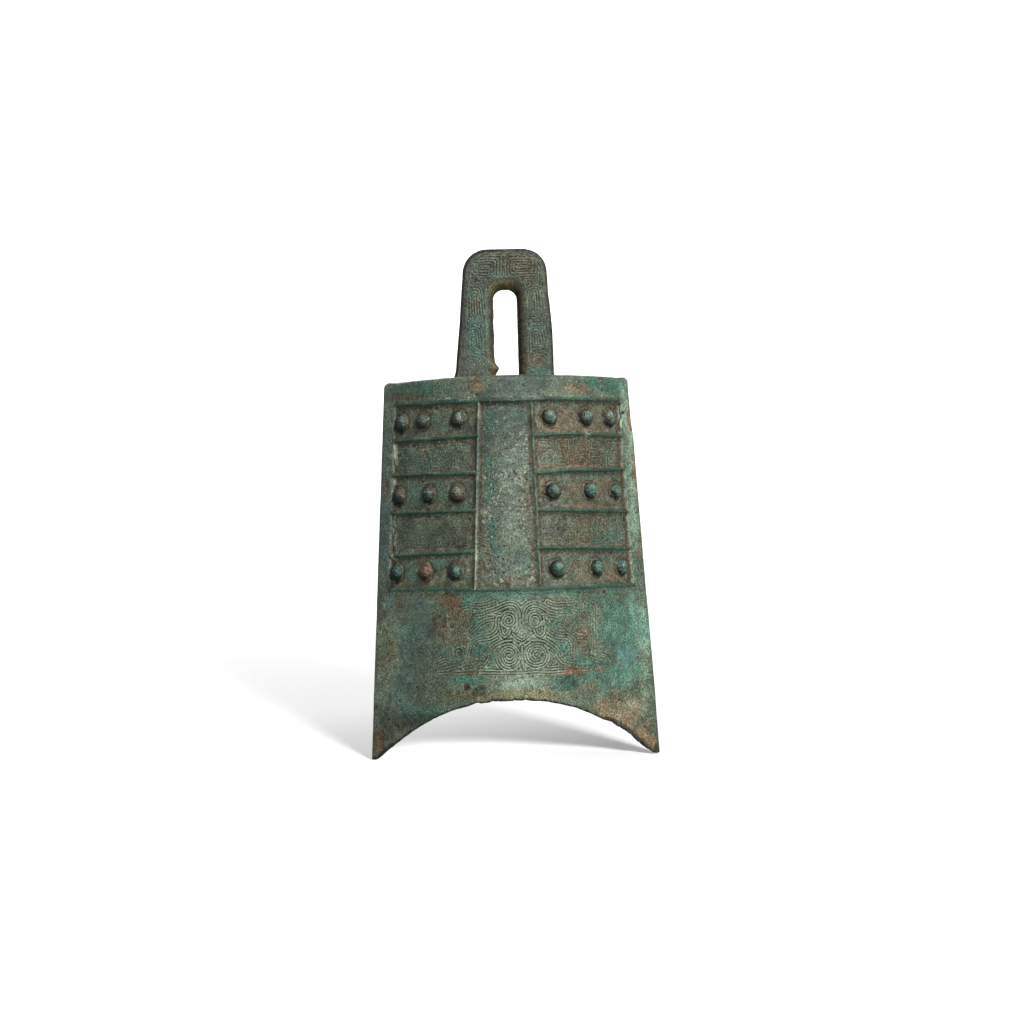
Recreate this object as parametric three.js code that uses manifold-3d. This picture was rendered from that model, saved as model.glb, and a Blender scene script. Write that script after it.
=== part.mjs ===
// A clapperless chime bell of cast bronze: a two-sided almond section, a flat top with an upright
// hanging loop, an arched lip between two pointed corners, and a ribbed frame with bosses on each face.
// Millimetres, +Z up. The origin is on the ground under the middle of the bell, the front faces -Y,
// and left is -X. Loop, bosses and core spacers are pieces made first and cast into the body.

import * as THREE from "three";
import { mergeVertices } from "three/addons/utils/BufferGeometryUtils.js";
import Module from "manifold-3d";

// Body
const bodyHeight = 178;
const lipHalfWidth = 67.3;
const topHalfWidth = 57.4;
const lipHalfDepth = 50.5;
const topHalfDepth = 43;
const wallThickness = 4;
const topThickness = 4.2;
const topEdgeRadius = 2.2;
const archHeight = 29.2;
const archPower = 2.25;
const footLength = 2.6;

// Frame of ribs on each face
const topMargin = 10.7;
const rowHeights = [17.3, 16.3, 18.4, 18.2, 16.8];
const sideMargin = 5.2;
const centrePanel = {
  left: { top: 13.0, bottom: 16.8 },
  right: { top: 11.2, bottom: 13.5 },
};
const panelSink = 1.0;
const ribRise = 0.5;
const ribBase = 2.8;
const ribCrest = 1.2;
const ribRoot = 0.4;

// Bosses: three to a row, in the first, third and fifth rows on both sides of the centre panel
const bossRadius = 3.8;
const bossRise = 3.6;
const bossSeatFloor = 1.1;
const bossFromCentreRib = { left: 9.4, right: 8.3 };
const bossFromBorder = { left: 3.6, right: 4.7 };
const middleBossDrift = {
  front: { left: [3.4, -2.0, -1.2], right: [2.0, 1.4, 2.7] },
  back: { left: [0, 0, 0], right: [0, 0, 0] },
};

// Hanging loop
const loopHeight = 62;
const loopFootHalfWidth = 23.3;
const loopTopHalfWidth = 19.4;
const loopCornerRadius = 11.5;
const loopThickness = 13;
const loopEdge = 1.2;
const loopCrown = 19;
const windowFootHalfWidth = 6.1;
const windowTopHalfWidth = 5.8;
const windowCrownFlat = 0.8;
const windowFlare = 2.4;
const tenonShoulder = 1.6;
const tenonSeatFloor = 1.3;

// Core spacers that kept the wall's thickness while the bell was poured: one through each face
const spacerSide = 3.2;
const spacerHeight = 35.8;
const spacerOffset = 21.2;

const seatClearance = 0.3;

const bossShank = wallThickness - panelSink - seatClearance - bossSeatFloor;
const tenonDepth = topThickness - seatClearance - tenonSeatFloor;
const windowHeight = loopHeight - loopCrown;

// How finely the curves are cut
const faceSteps = 24;
const archSteps = 24;
const edgeSteps = 3;
const bossSides = 10;
const domeSteps = 3;
const legSteps = 3;
const cornerSteps = 5;
const arcSamples = 60;

const patina = new THREE.MeshStandardMaterial({ color: 0x4a6a5c, roughness: 0.75, metalness: 0.35 });
const loopPatina = new THREE.MeshStandardMaterial({ color: 0x4d6353, roughness: 0.72, metalness: 0.4 });
const bossPatina = new THREE.MeshStandardMaterial({ color: 0x3f5f54, roughness: 0.55, metalness: 0.45 });
const redPatina = new THREE.MeshStandardMaterial({ color: 0x7c4a3a, roughness: 0.8, metalness: 0.25 });
const darkPatina = new THREE.MeshStandardMaterial({ color: 0x35342b, roughness: 0.8, metalness: 0.3 });

const sideSigns = { left: -1, right: 1 };
const faceSigns = { front: -1, back: 1 };

const wasm = await Module();
wasm.setup();

// Solids

function solidFromTriangles(vertProperties, triVerts) {
  const made = new wasm.Manifold(new wasm.Mesh({ numProp: 3, vertProperties, triVerts }));
  if (made.volume() > 0) return made;
  for (let i = 0; i < triVerts.length; i += 3) {
    [triVerts[i + 1], triVerts[i + 2]] = [triVerts[i + 2], triVerts[i + 1]];
  }
  return new wasm.Manifold(new wasm.Mesh({ numProp: 3, vertProperties, triVerts }));
}

function solidFromGeometry(geometry, matrix) {
  const bare = geometry.clone();
  bare.deleteAttribute("normal");
  bare.deleteAttribute("uv");
  if (matrix) bare.applyMatrix4(matrix);
  const merged = mergeVertices(bare, 1e-4);
  return solidFromTriangles(
    new Float32Array(merged.attributes.position.array),
    new Uint32Array(merged.index.array),
  );
}

function geometryFromSolid(solid) {
  const mesh = solid.getMesh();
  const positions = new Float32Array(mesh.numVert * 3);
  for (let i = 0; i < mesh.numVert; i++) {
    positions.set(mesh.vertProperties.subarray(i * mesh.numProp, i * mesh.numProp + 3), i * 3);
  }
  const geometry = new THREE.BufferGeometry();
  geometry.setAttribute("position", new THREE.BufferAttribute(positions, 3));
  geometry.setIndex(new THREE.BufferAttribute(new Uint32Array(mesh.triVerts), 1));
  geometry.computeVertexNormals();
  return geometry;
}

// A closed skin over rings of points that have as many points each, with a convex cap at both ends.
function loft(rings) {
  const count = rings[0].length;
  const positions = rings.flat().flatMap((p) => [p.x, p.y, p.z]);
  const triangles = [];
  for (let r = 0; r + 1 < rings.length; r++) {
    for (let i = 0; i < count; i++) {
      const next = (i + 1) % count;
      const [a, b, c, d] = [r * count + i, r * count + next, (r + 1) * count + i, (r + 1) * count + next];
      triangles.push(a, b, d, a, d, c);
    }
  }
  const last = (rings.length - 1) * count;
  for (let i = 1; i + 1 < count; i++) {
    triangles.push(0, i + 1, i);
    triangles.push(last, last + i, last + i + 1);
  }
  return solidFromTriangles(new Float32Array(positions), new Uint32Array(triangles));
}

// The bell's surface

const mix = THREE.MathUtils.lerp;
const halfWidthAt = (z) => mix(lipHalfWidth, topHalfWidth, z / bodyHeight);
const halfDepthAt = (z) => mix(lipHalfDepth, topHalfDepth, z / bodyHeight);
const borderAt = (z) => halfWidthAt(z) - sideMargin;

const ribLevels = rowHeights.reduce(
  (levels, height) => [...levels, levels.at(-1) - height],
  [bodyHeight - topMargin],
);
const frameTop = ribLevels[0];
const frameBottom = ribLevels.at(-1);

function centreRibAt(side, z) {
  const share = (z - frameBottom) / (frameTop - frameBottom);
  return sideSigns[side] * mix(centrePanel[side].bottom, centrePanel[side].top, share);
}

// The direction square to a face, at x and height z.
function faceNormal(face, x, z) {
  const [a, b] = [halfWidthAt(z), halfDepthAt(z)];
  const [widthSlope, depthSlope] = [
    (topHalfWidth - lipHalfWidth) / bodyHeight,
    (topHalfDepth - lipHalfDepth) / bodyHeight,
  ];
  const share = x / a;
  const alongX = (2 * b * x) / (a * a);
  const alongZ = -(depthSlope * (1 - share * share) + (2 * b * share * share * widthSlope) / a);
  return new THREE.Vector3(alongX, faceSigns[face], alongZ).normalize();
}

// A point on a face, at x and height z, moved out from it.
function facePoint(face, x, z, out = 0) {
  const share = x / halfWidthAt(z);
  const point = new THREE.Vector3(x, faceSigns[face] * halfDepthAt(z) * (1 - share * share), z);
  const level = faceNormal(face, x, z).setZ(0).normalize();
  return point.addScaledVector(level, out);
}

// The almond outline at height z, drawn in by inset.
function almondRing(z, inset) {
  const [fullWidth, fullDepth] = [halfWidthAt(z), halfDepthAt(z)];
  const a = fullWidth - inset * Math.hypot(1, fullWidth / (2 * fullDepth));
  const b = fullDepth - inset;
  const ring = [];
  for (const sign of [-1, 1]) {
    for (let i = 0; i < faceSteps; i++) {
      const share = sign * (1 - (2 * i) / faceSteps);
      ring.push(new THREE.Vector3(share * a, sign * b * (1 - share * share), z));
    }
  }
  return ring;
}

// Body

function outerBody() {
  const rings = [almondRing(0, 0)];
  for (let i = 0; i <= edgeSteps; i++) {
    const turn = (i / edgeSteps) * (Math.PI / 2);
    const z = bodyHeight - topEdgeRadius * (1 - Math.sin(turn));
    rings.push(almondRing(z, topEdgeRadius * (1 - Math.cos(turn))));
  }
  return loft(rings);
}

function innerBody() {
  const below = -2;
  return loft([almondRing(below, wallThickness), almondRing(bodyHeight - topThickness, wallThickness)]);
}

// The space under the lip's arch, right through the bell.
function archSpace() {
  const reach = lipHalfWidth - footLength;
  const below = -5;
  const through = 2 * lipHalfDepth + 10;
  const outline = new THREE.Shape();
  outline.moveTo(-reach, below);
  for (let i = 0; i <= archSteps; i++) {
    const share = -1 + (2 * i) / archSteps;
    outline.lineTo(share * reach, archHeight * (1 - Math.abs(share) ** archPower));
  }
  outline.lineTo(reach, below);
  const slab = new THREE.ExtrudeGeometry(outline, { depth: through, bevelEnabled: false });
  slab.translate(0, 0, -through / 2);
  slab.rotateX(Math.PI / 2);
  return solidFromGeometry(slab);
}

// The shallow field inside the frame, cut out of a face.
function sunkField(face) {
  const clear = 3;
  const rings = [];
  for (let i = 0; i <= faceSteps; i++) {
    const share = -1 + (2 * i) / faceSteps;
    const corner = (z, out) => facePoint(face, share * borderAt(z), z, out);
    rings.push([
      corner(frameBottom, -panelSink),
      corner(frameTop, -panelSink),
      corner(frameTop, clear),
      corner(frameBottom, clear),
    ]);
  }
  return loft(rings);
}

const ribSection = [
  [-ribBase / 2, -panelSink - ribRoot],
  [ribBase / 2, -panelSink - ribRoot],
  [ribCrest / 2, ribRise],
  [-ribCrest / 2, ribRise],
];

// A rib across a face at one height, from one x to another.
function levelRib(face, z, fromX, toX) {
  const steps = Math.max(4, Math.round((faceSteps * Math.abs(toX - fromX)) / (2 * halfWidthAt(z))));
  const rings = [];
  for (let i = 0; i <= steps; i++) {
    const x = mix(fromX, toX, i / steps);
    rings.push(ribSection.map(([aside, out]) => facePoint(face, x, z + aside, out)));
  }
  return loft(rings);
}

// A rib beside the centre panel, from the bottom rib to the top one.
function uprightRib(face, side) {
  return loft(
    [frameBottom, frameTop].map((z) =>
      ribSection.map(([aside, out]) => facePoint(face, centreRibAt(side, z) + aside, z, out)),
    ),
  );
}

function frameRibs(face) {
  const ribs = [uprightRib(face, "left"), uprightRib(face, "right")];
  for (const z of ribLevels) {
    const end = borderAt(z) + ribCrest / 2;
    if (z === frameTop || z === frameBottom) {
      ribs.push(levelRib(face, z, -end, end));
    } else {
      ribs.push(levelRib(face, z, -end, centreRibAt("left", z)));
      ribs.push(levelRib(face, z, centreRibAt("right", z), end));
    }
  }
  return ribs;
}

// Bosses

// Distance along a face from its middle to x, at height z.
function arcTo(x, z) {
  const steps = arcSamples;
  let length = 0;
  for (let i = 0; i < steps; i++) {
    const from = facePoint("front", (x * i) / steps, z);
    length += from.distanceTo(facePoint("front", (x * (i + 1)) / steps, z));
  }
  return length;
}

// The x whose distance along a face from its middle is arc, at height z.
function xAtArc(arc, z) {
  let [low, high] = [0, halfWidthAt(z)];
  for (let i = 0; i < 30; i++) {
    const guess = (low + high) / 2;
    if (arcTo(guess, z) < arc) low = guess;
    else high = guess;
  }
  return (low + high) / 2;
}

function bossPlaces() {
  const places = [];
  const rowNames = ["top", "middle", "bottom"];
  for (const face of ["front", "back"]) {
    for (const side of ["left", "right"]) {
      rowNames.forEach((row, index) => {
        const z = (ribLevels[2 * index] + ribLevels[2 * index + 1]) / 2;
        const inner = Math.abs(centreRibAt(side, z)) + bossFromCentreRib[side];
        const outer = borderAt(z) - bossFromBorder[side];
        const halfway = (arcTo(inner, z) + arcTo(outer, z)) / 2;
        const middle = xAtArc(halfway + middleBossDrift[face][side][index], z);
        for (const [column, x] of Object.entries({ inner, middle, outer })) {
          const name = `boss_${face}_${side}_${row}_${column}`;
          places.push({ name, face, x: sideSigns[side] * x, z });
        }
      });
    }
  }
  return places;
}

// The turn and move that carry +Z onto a face's outward direction, with the origin sunk below the face.
function seatOn(face, x, z, depth) {
  const outward = faceNormal(face, x, z);
  const turn = new THREE.Quaternion().setFromUnitVectors(new THREE.Vector3(0, 0, 1), outward);
  return { position: facePoint(face, x, z).addScaledVector(outward, -depth), turn };
}

function matrixOf({ position, turn }) {
  return new THREE.Matrix4().compose(position, turn, new THREE.Vector3(1, 1, 1));
}

// A dome on a short shank, standing along +Z with the field's surface at 0.
function bossGeometry() {
  const profile = [new THREE.Vector2(0, -bossShank), new THREE.Vector2(bossRadius, -bossShank)];
  for (let i = 0; i < domeSteps; i++) {
    const turn = (i / domeSteps) * (Math.PI / 2);
    profile.push(new THREE.Vector2(bossRadius * Math.cos(turn), bossRise * Math.sin(turn)));
  }
  profile.push(new THREE.Vector2(0, bossRise));
  return new THREE.LatheGeometry(profile, bossSides).rotateX(Math.PI / 2);
}

// The socket that a boss stands in.
function bossSocket(place) {
  const clear = 4;
  const depth = bossShank + seatClearance;
  const socket = new THREE.CylinderGeometry(
    bossRadius + seatClearance,
    bossRadius + seatClearance,
    depth + clear,
    bossSides,
  );
  socket.rotateX(Math.PI / 2).translate(0, 0, (clear - depth) / 2);
  return solidFromGeometry(socket, matrixOf(seatOn(place.face, place.x, place.z, panelSink)));
}

// Core spacers

function spacerPlaces() {
  return ["front", "back"].map((face) => ({
    name: `core_spacer_${face}`,
    face,
    x: sideSigns.left * spacerOffset,
    z: spacerHeight,
  }));
}

function spacerHole(place) {
  const side = spacerSide + 2 * seatClearance;
  const hole = new THREE.BoxGeometry(side, side, 3 * wallThickness);
  return solidFromGeometry(hole, matrixOf(seatOn(place.face, place.x, place.z, wallThickness / 2)));
}

// Hanging loop

// Half an upside-down U, from its foot to the middle of its top: x outward, z up from the top plate.
function halfArch(footHalf, topHalf, height, radius) {
  const points = [];
  const cornerBase = height - radius;
  for (let i = 0; i < legSteps; i++) {
    const share = i / legSteps;
    points.push([mix(footHalf, topHalf, share), cornerBase * share]);
  }
  for (let i = 0; i <= cornerSteps; i++) {
    const turn = (i / cornerSteps) * (Math.PI / 2);
    points.push([topHalf - radius + radius * Math.cos(turn), cornerBase + radius * Math.sin(turn)]);
  }
  return points;
}

function wholeArch(half) {
  const mirrored = half.map(([x, z]) => [-x, z]).reverse();
  return [...half, ...mirrored];
}

// The loop's outline, drawn in by inset.
function outerArch(inset) {
  const topHalf = loopTopHalfWidth - inset;
  const radius = Math.min(loopCornerRadius - inset / 2, topHalf - windowCrownFlat);
  return wholeArch(halfArch(loopFootHalfWidth - inset, topHalf, loopHeight - inset, radius));
}

// The window's outline, let out by widen.
function windowArch(widen) {
  const topHalf = windowTopHalfWidth + widen;
  const radius = topHalf - windowCrownFlat;
  return wholeArch(halfArch(windowFootHalfWidth + widen, topHalf, windowHeight + widen, radius));
}

function tenonBox(side, grow) {
  const innerX = windowFootHalfWidth + windowFlare + tenonShoulder - grow;
  const outerX = loopFootHalfWidth - loopEdge - tenonShoulder + grow;
  const thick = loopThickness - 2 * tenonShoulder + 2 * grow;
  const above = 1;
  const box = new THREE.BoxGeometry(outerX - innerX, thick, tenonDepth + grow + above);
  box.translate((sideSigns[side] * (innerX + outerX)) / 2, 0, (above - tenonDepth - grow) / 2);
  return solidFromGeometry(box, new THREE.Matrix4().makeTranslation(0, 0, bodyHeight));
}

function hangingLoop() {
  const edge = outerArch(0);
  const face = outerArch(loopEdge);
  const windowFace = windowArch(windowFlare);
  const windowRidge = windowArch(0);
  const half = loopThickness / 2;
  const at = ([x, z], y) => new THREE.Vector3(x, y, bodyHeight + z);
  const rings = edge.map((_, i) => [
    at(edge[i], loopEdge - half),
    at(face[i], -half),
    at(windowFace[i], -half),
    at(windowRidge[i], 0),
    at(windowFace[i], half),
    at(face[i], half),
    at(edge[i], half - loopEdge),
  ]);
  return loft(rings).add(tenonBox("left", 0)).add(tenonBox("right", 0));
}

// Assembly

const bosses = bossPlaces();
const spacers = spacerPlaces();

function bellBody() {
  let body = outerBody().subtract(innerBody()).subtract(archSpace());
  for (const face of ["front", "back"]) {
    body = body.subtract(sunkField(face));
    for (const rib of frameRibs(face)) body = body.add(rib);
  }
  for (const place of bosses) body = body.subtract(bossSocket(place));
  for (const place of spacers) body = body.subtract(spacerHole(place));
  for (const side of ["left", "right"]) body = body.subtract(tenonBox(side, seatClearance));
  return body;
}

const bell = new THREE.Group();

function addPiece(name, geometry, material, seat) {
  const piece = new THREE.Mesh(geometry, material);
  piece.name = name;
  if (seat) {
    piece.position.copy(seat.position);
    piece.quaternion.copy(seat.turn);
  }
  bell.add(piece);
}

addPiece("bell_body", geometryFromSolid(bellBody()), patina);
addPiece("hanging_loop", geometryFromSolid(hangingLoop()), loopPatina);

const redBoss = "boss_front_left_bottom_middle";
for (const place of bosses) {
  const material = place.name === redBoss ? redPatina : bossPatina;
  addPiece(place.name, bossGeometry(), material, seatOn(place.face, place.x, place.z, panelSink));
}

for (const place of spacers) {
  const plug = new THREE.BoxGeometry(spacerSide, spacerSide, wallThickness);
  addPiece(place.name, plug, darkPatina, seatOn(place.face, place.x, place.z, wallThickness / 2));
}

export default bell;
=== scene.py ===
"""A small clapperless chime bell of cast bronze with an old green patina, on a pale studio floor.

Shapes are worked out in millimetres in the bell's own frame and made in metres.
The front faces -Y. Left is -X, as the camera sees it.
"""

import math

import bpy
import numpy as np
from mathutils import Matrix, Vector
from mathutils.kdtree import KDTree


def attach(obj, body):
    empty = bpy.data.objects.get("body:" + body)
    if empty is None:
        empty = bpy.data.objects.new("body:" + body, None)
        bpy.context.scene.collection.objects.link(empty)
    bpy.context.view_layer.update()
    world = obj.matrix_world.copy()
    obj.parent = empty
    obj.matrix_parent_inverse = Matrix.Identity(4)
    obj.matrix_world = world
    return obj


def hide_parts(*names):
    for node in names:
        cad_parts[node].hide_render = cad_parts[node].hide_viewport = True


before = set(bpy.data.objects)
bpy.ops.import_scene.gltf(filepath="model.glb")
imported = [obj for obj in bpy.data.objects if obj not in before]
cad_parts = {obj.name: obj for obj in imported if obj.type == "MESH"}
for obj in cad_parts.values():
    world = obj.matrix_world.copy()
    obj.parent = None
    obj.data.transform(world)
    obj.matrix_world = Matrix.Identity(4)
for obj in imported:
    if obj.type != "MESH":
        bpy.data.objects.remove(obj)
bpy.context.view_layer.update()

MM = 0.001

# The bell's sizes in millimetres
BODY_HEIGHT = 178.0
LIP_HALF_WIDTH = 67.3
TOP_HALF_WIDTH = 57.4
LIP_HALF_DEPTH = 50.5
TOP_HALF_DEPTH = 43.0
WALL = 4.0
TOP_THICKNESS = 4.2
CEILING = BODY_HEIGHT - TOP_THICKNESS
TOP_EDGE_RADIUS = 2.2
ARCH_HEIGHT = 29.2
ARCH_POWER = 2.25
ARCH_REACH = 64.7
RIDGE_ROUNDING = 0.9
# The ridges' rounding ends between these depths off the middle plane
RIDGE_FADE = (5.0, 11.0)

# The frame of ribs
RIB_LEVELS = [167.3, 150.0, 133.7, 115.3, 97.1, 80.3]
FRAME_TOP = RIB_LEVELS[0]
FRAME_BOTTOM = RIB_LEVELS[-1]
SIDE_MARGIN = 5.2
# The front's second rib is worn low at this x
WORN_SPOT = 36.5

# How far the crest of each level rib strays from its level, at these places across the face
BEND_PLACES = (-54.0, -36.0, -18.0, 12.0, 33.0, 54.0)
RIB_BENDS = [
    (0.2, -0.6, -0.9, -1.0, -0.1, -0.2),
    (0.6, 0.0, 0.4, 0.3, 0.9, 0.0),
    (0.4, 0.1, -0.4, -0.7, 0.2, 0.8),
    (1.3, 1.0, 0.9, 0.6, 0.1, -0.5),
    (-0.9, 0.1, 0.3, 1.6, 1.1, 0.4),
    (-0.1, 0.6, -0.2, -0.4, -0.3, 0.0),
]
# Where the uprights stand at the top and at the foot
UPRIGHT_LEFT = (-13.0, -16.8)
UPRIGHT_RIGHT = (11.2, 13.5)

# Depths and heights of the relief on a face
FIELD_SINK = 1.0
RIB_HEIGHT = 1.2
UPRIGHT_HEIGHT = RIB_HEIGHT - 0.1
SEAT_RISE = 0.3
SEAT_RIM, SEAT_REACH = (3.6, 4.7), 14.0
GAP_DEPTH = 0.8
UNDERCUT_DEPTH, UNDERCUT_HEIGHT, UNDERCUT_HALF = 0.32, 77.2, 46.0
SCROLL_DEPTH, SCROLL_RISE = 0.55, 0.12
FRET_DEPTH, FRET_RISE = 0.26, 0.08
CRUST_RISE, LUMP_RISE, GRIT_RISE = 0.08, 0.06, 0.05
PIT_DEPTH, DEEP_PIT_DEPTH = 0.16, 0.36
LEFT_FLARE, RIGHT_FLARE, RIGHT_LIP_FLARE = 1.05, 1.3, 0.3

# The front's damage. Cracks and a cast lump have a middle x, ends in z and a depth or rise.
CRACK = (53.6, 149.5, 166.0, 0.5)
SIDE_CRACK = (-57.2, 124.0, 134.0, 0.35)
CAST_LUMP = (-29.5, 61.0, 69.5, 0.35)
# Holes have a middle x and z and a radius
HOLES = ((53.4, 164.8, 0.75), (54.8, 161.1, 0.7))
HOLE_DEPTH = 0.9

# Where the lip is worn more, and its nicks: middle x, width and amount
LIP_WEAR = ((53.0, 12.0, 0.8), (-58.0, 8.0, 0.4))
LIP_NICKS = ((-17.0, 0.9, 0.7), (-9.5, 0.7, 0.5), (5.5, 0.8, 0.4))

# Where the wall is divided into blocks
SEAM_HEIGHT = 78.5
CROWN_INSET = 3.2

# Spacing of a face's points: along the striking wall, along the framed wall, and up both
WALL_SPACING = {"front": (0.345, 0.34, 0.33), "back": (0.55, 0.52, 0.5)}
STRIKING_RUN, FRAME_RUN = 58.0, 97.0
# Rows inside each wall, and at which height its spacing along is measured
STRIKING_INNER_ROWS, FRAME_INNER_ROWS = 12, 26
STRIKING_MIDDLE, FRAME_MIDDLE = 45.0, 130.0
LIP_ROUNDS = 12

# Bosses and spacers
BOSS_RADIUS = 3.8
BOSS_RISE = 3.6
SPACER_SIDE, SPACER_STEPS = 3.2, 26

# The ornament under the frame is mirrored about this line, and shows between these places
SCROLL_AXIS = 4.4
SCROLL_ACROSS, SCROLL_UP = (-39.0, 47.0), (40.4, 76.0)
COIL_PITCH = 1.25
FRET_ROWS = ((135.0, 148.6), (98.6, 113.8))
FRET_ENDS = ((-52.5, -16.6), (14.4, 54.0))
FRET_CELLS = 5
# Between which heights the fret shows, and how strongly
FRET_ZONES = ((98.4, 114.2, 0.55), (134.8, 149.2, 1.0))

# The hanging loop
LOOP_HEIGHT = 62.0
LOOP_FOOT_HALF = 23.3
LOOP_TOP_HALF = 19.4
LOOP_CORNER = 11.5
LOOP_HALF_THICK = 6.5
LOOP_EDGE_ROUND = 1.8
LOOP_FACE_INSET = 1.7
MOUTH_DROP = 0.35
WINDOW_CENTRE = 0.3
WINDOW_FOOT_HALF = 5.8
WINDOW_TOP_HALF = 5.6
WINDOW_HEIGHT = 43.0
WINDOW_CORNER = WINDOW_TOP_HALF - 0.6

FACE_SIGN = {"front": -1.0, "back": 1.0}


# Helpers for numbers

def ease(value, low, high):
    """0 below low, 1 above high and a smooth step between."""
    t = np.clip((value - low) / (high - low), 0.0, 1.0)
    return t * t * (3.0 - 2.0 * t)


def within(value, low, high, soft_low, soft_high):
    """1 between two limits, each with a soft edge on its inner side, and 0 outside them."""
    return ease(value - low, 0.0, soft_low) * ease(high - value, 0.0, soft_high)


def lerp(a, b, t):
    return a + (b - a) * t


def bump(value, centre, width):
    return np.exp(-(((value - centre) / width) ** 2))


def unit(value):
    return np.clip(value, 0.0, 1.0)


def bumps(value, rows, start=0.0):
    """Bumps added up, each with its centre, width and height."""
    return sum((height * bump(value, centre, width) for centre, width, height in rows), start)


def at(*values):
    """Points from their coordinates, any of which may be one number for all."""
    return np.stack(np.broadcast_arrays(*values), -1)


def cover(masks, key, *values):
    """Raises a mask to each of these values where that is higher."""
    for value in values:
        masks[key] = np.maximum(masks[key], value)


rng = np.random.default_rng(41)
LATTICE_SIZE = 64
LATTICE = rng.random((LATTICE_SIZE,) * 3).astype(np.float32)
TWIST = np.linalg.qr(rng.normal(size=(3, 3)))[0]
SCATTER = rng.random((4096, 4))


def grain(points, size, seed=0):
    """Smooth noise from -1 to 1, with lumps about size across."""
    q = points.reshape(-1, 3) @ TWIST.T / size + 11.37 * (seed + 1)
    cell = np.floor(q).astype(np.int64)
    f = q - cell
    f = f * f * (3.0 - 2.0 * f)
    low = cell % LATTICE_SIZE
    high = (cell + 1) % LATTICE_SIZE
    total = 0.0
    for i, wi in ((low[:, 0], 1 - f[:, 0]), (high[:, 0], f[:, 0])):
        for j, wj in ((low[:, 1], 1 - f[:, 1]), (high[:, 1], f[:, 1])):
            for k, wk in ((low[:, 2], 1 - f[:, 2]), (high[:, 2], f[:, 2])):
                total = total + LATTICE[i, j, k] * wi * wj * wk
    return (total * 2.0 - 1.0).reshape(points.shape[:-1])


def layered(points, size, octaves=3, seed=0, fade=0.55):
    """Noise of several sizes laid over each other, about -1 to 1."""
    total, weight, weights = 0.0, 1.0, 0.0
    for octave in range(octaves):
        total = total + weight * grain(points, size / 2.0**octave, seed + 7 * octave)
        weights += weight
        weight *= fade
    return total / weights


def pits(u, v, cell, radius, chance, seed):
    """Depth from 0 to 1 of round pits, at most one to a square cell."""
    iu = np.floor(u / cell).astype(np.int64)
    iv = np.floor(v / cell).astype(np.int64)
    depth = np.zeros_like(u)
    for du in (-1, 0, 1):
        for dv in (-1, 0, 1):
            cu, cv = iu + du, iv + dv
            draws = SCATTER[(cu * 73 + cv * 179 + seed * 911) % len(SCATTER)]
            across, up, size, luck = np.moveaxis(draws, -1, 0)
            off_u = u - (cu + 0.1 + 0.8 * across) * cell
            off_v = v - (cv + 0.1 + 0.8 * up) * cell
            share = (off_u**2 + off_v**2) / (radius * (0.5 + size)) ** 2
            depth = np.maximum(depth, np.where(luck < chance, 1.0 - share, 0.0))
    return depth


# Node trees

class Tree:
    """A node tree, built step by step."""

    def join(self, target, value):
        if isinstance(value, (int, float, str, tuple)):
            target.default_value = value
        else:
            self.tree.links.new(value, target)

    def node(self, kind, values=None, **settings):
        """A node with its settings and what goes into its sockets, by name or number."""
        node = self.tree.nodes.new(kind)
        for key, value in settings.items():
            setattr(node, key, value)
        for key, value in (values or {}).items():
            self.join(node.inputs[key], value)
        return node

    def math(self, kind, a, b=0.0):
        return self.node("ShaderNodeMath", {0: a, 1: b}, operation=kind).outputs[0]

    def step(self, value, low, high, start=0.0, end=1.0):
        """A smooth step of a value."""
        values = {"Value": value, "From Min": low, "From Max": high, "To Min": start, "To Max": end}
        return self.node("ShaderNodeMapRange", values, interpolation_type="SMOOTHSTEP").outputs["Result"]

    def scale(self, vector, amount):
        return self.node("ShaderNodeVectorMath", {0: vector, "Scale": amount}, operation="SCALE").outputs[0]


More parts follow.
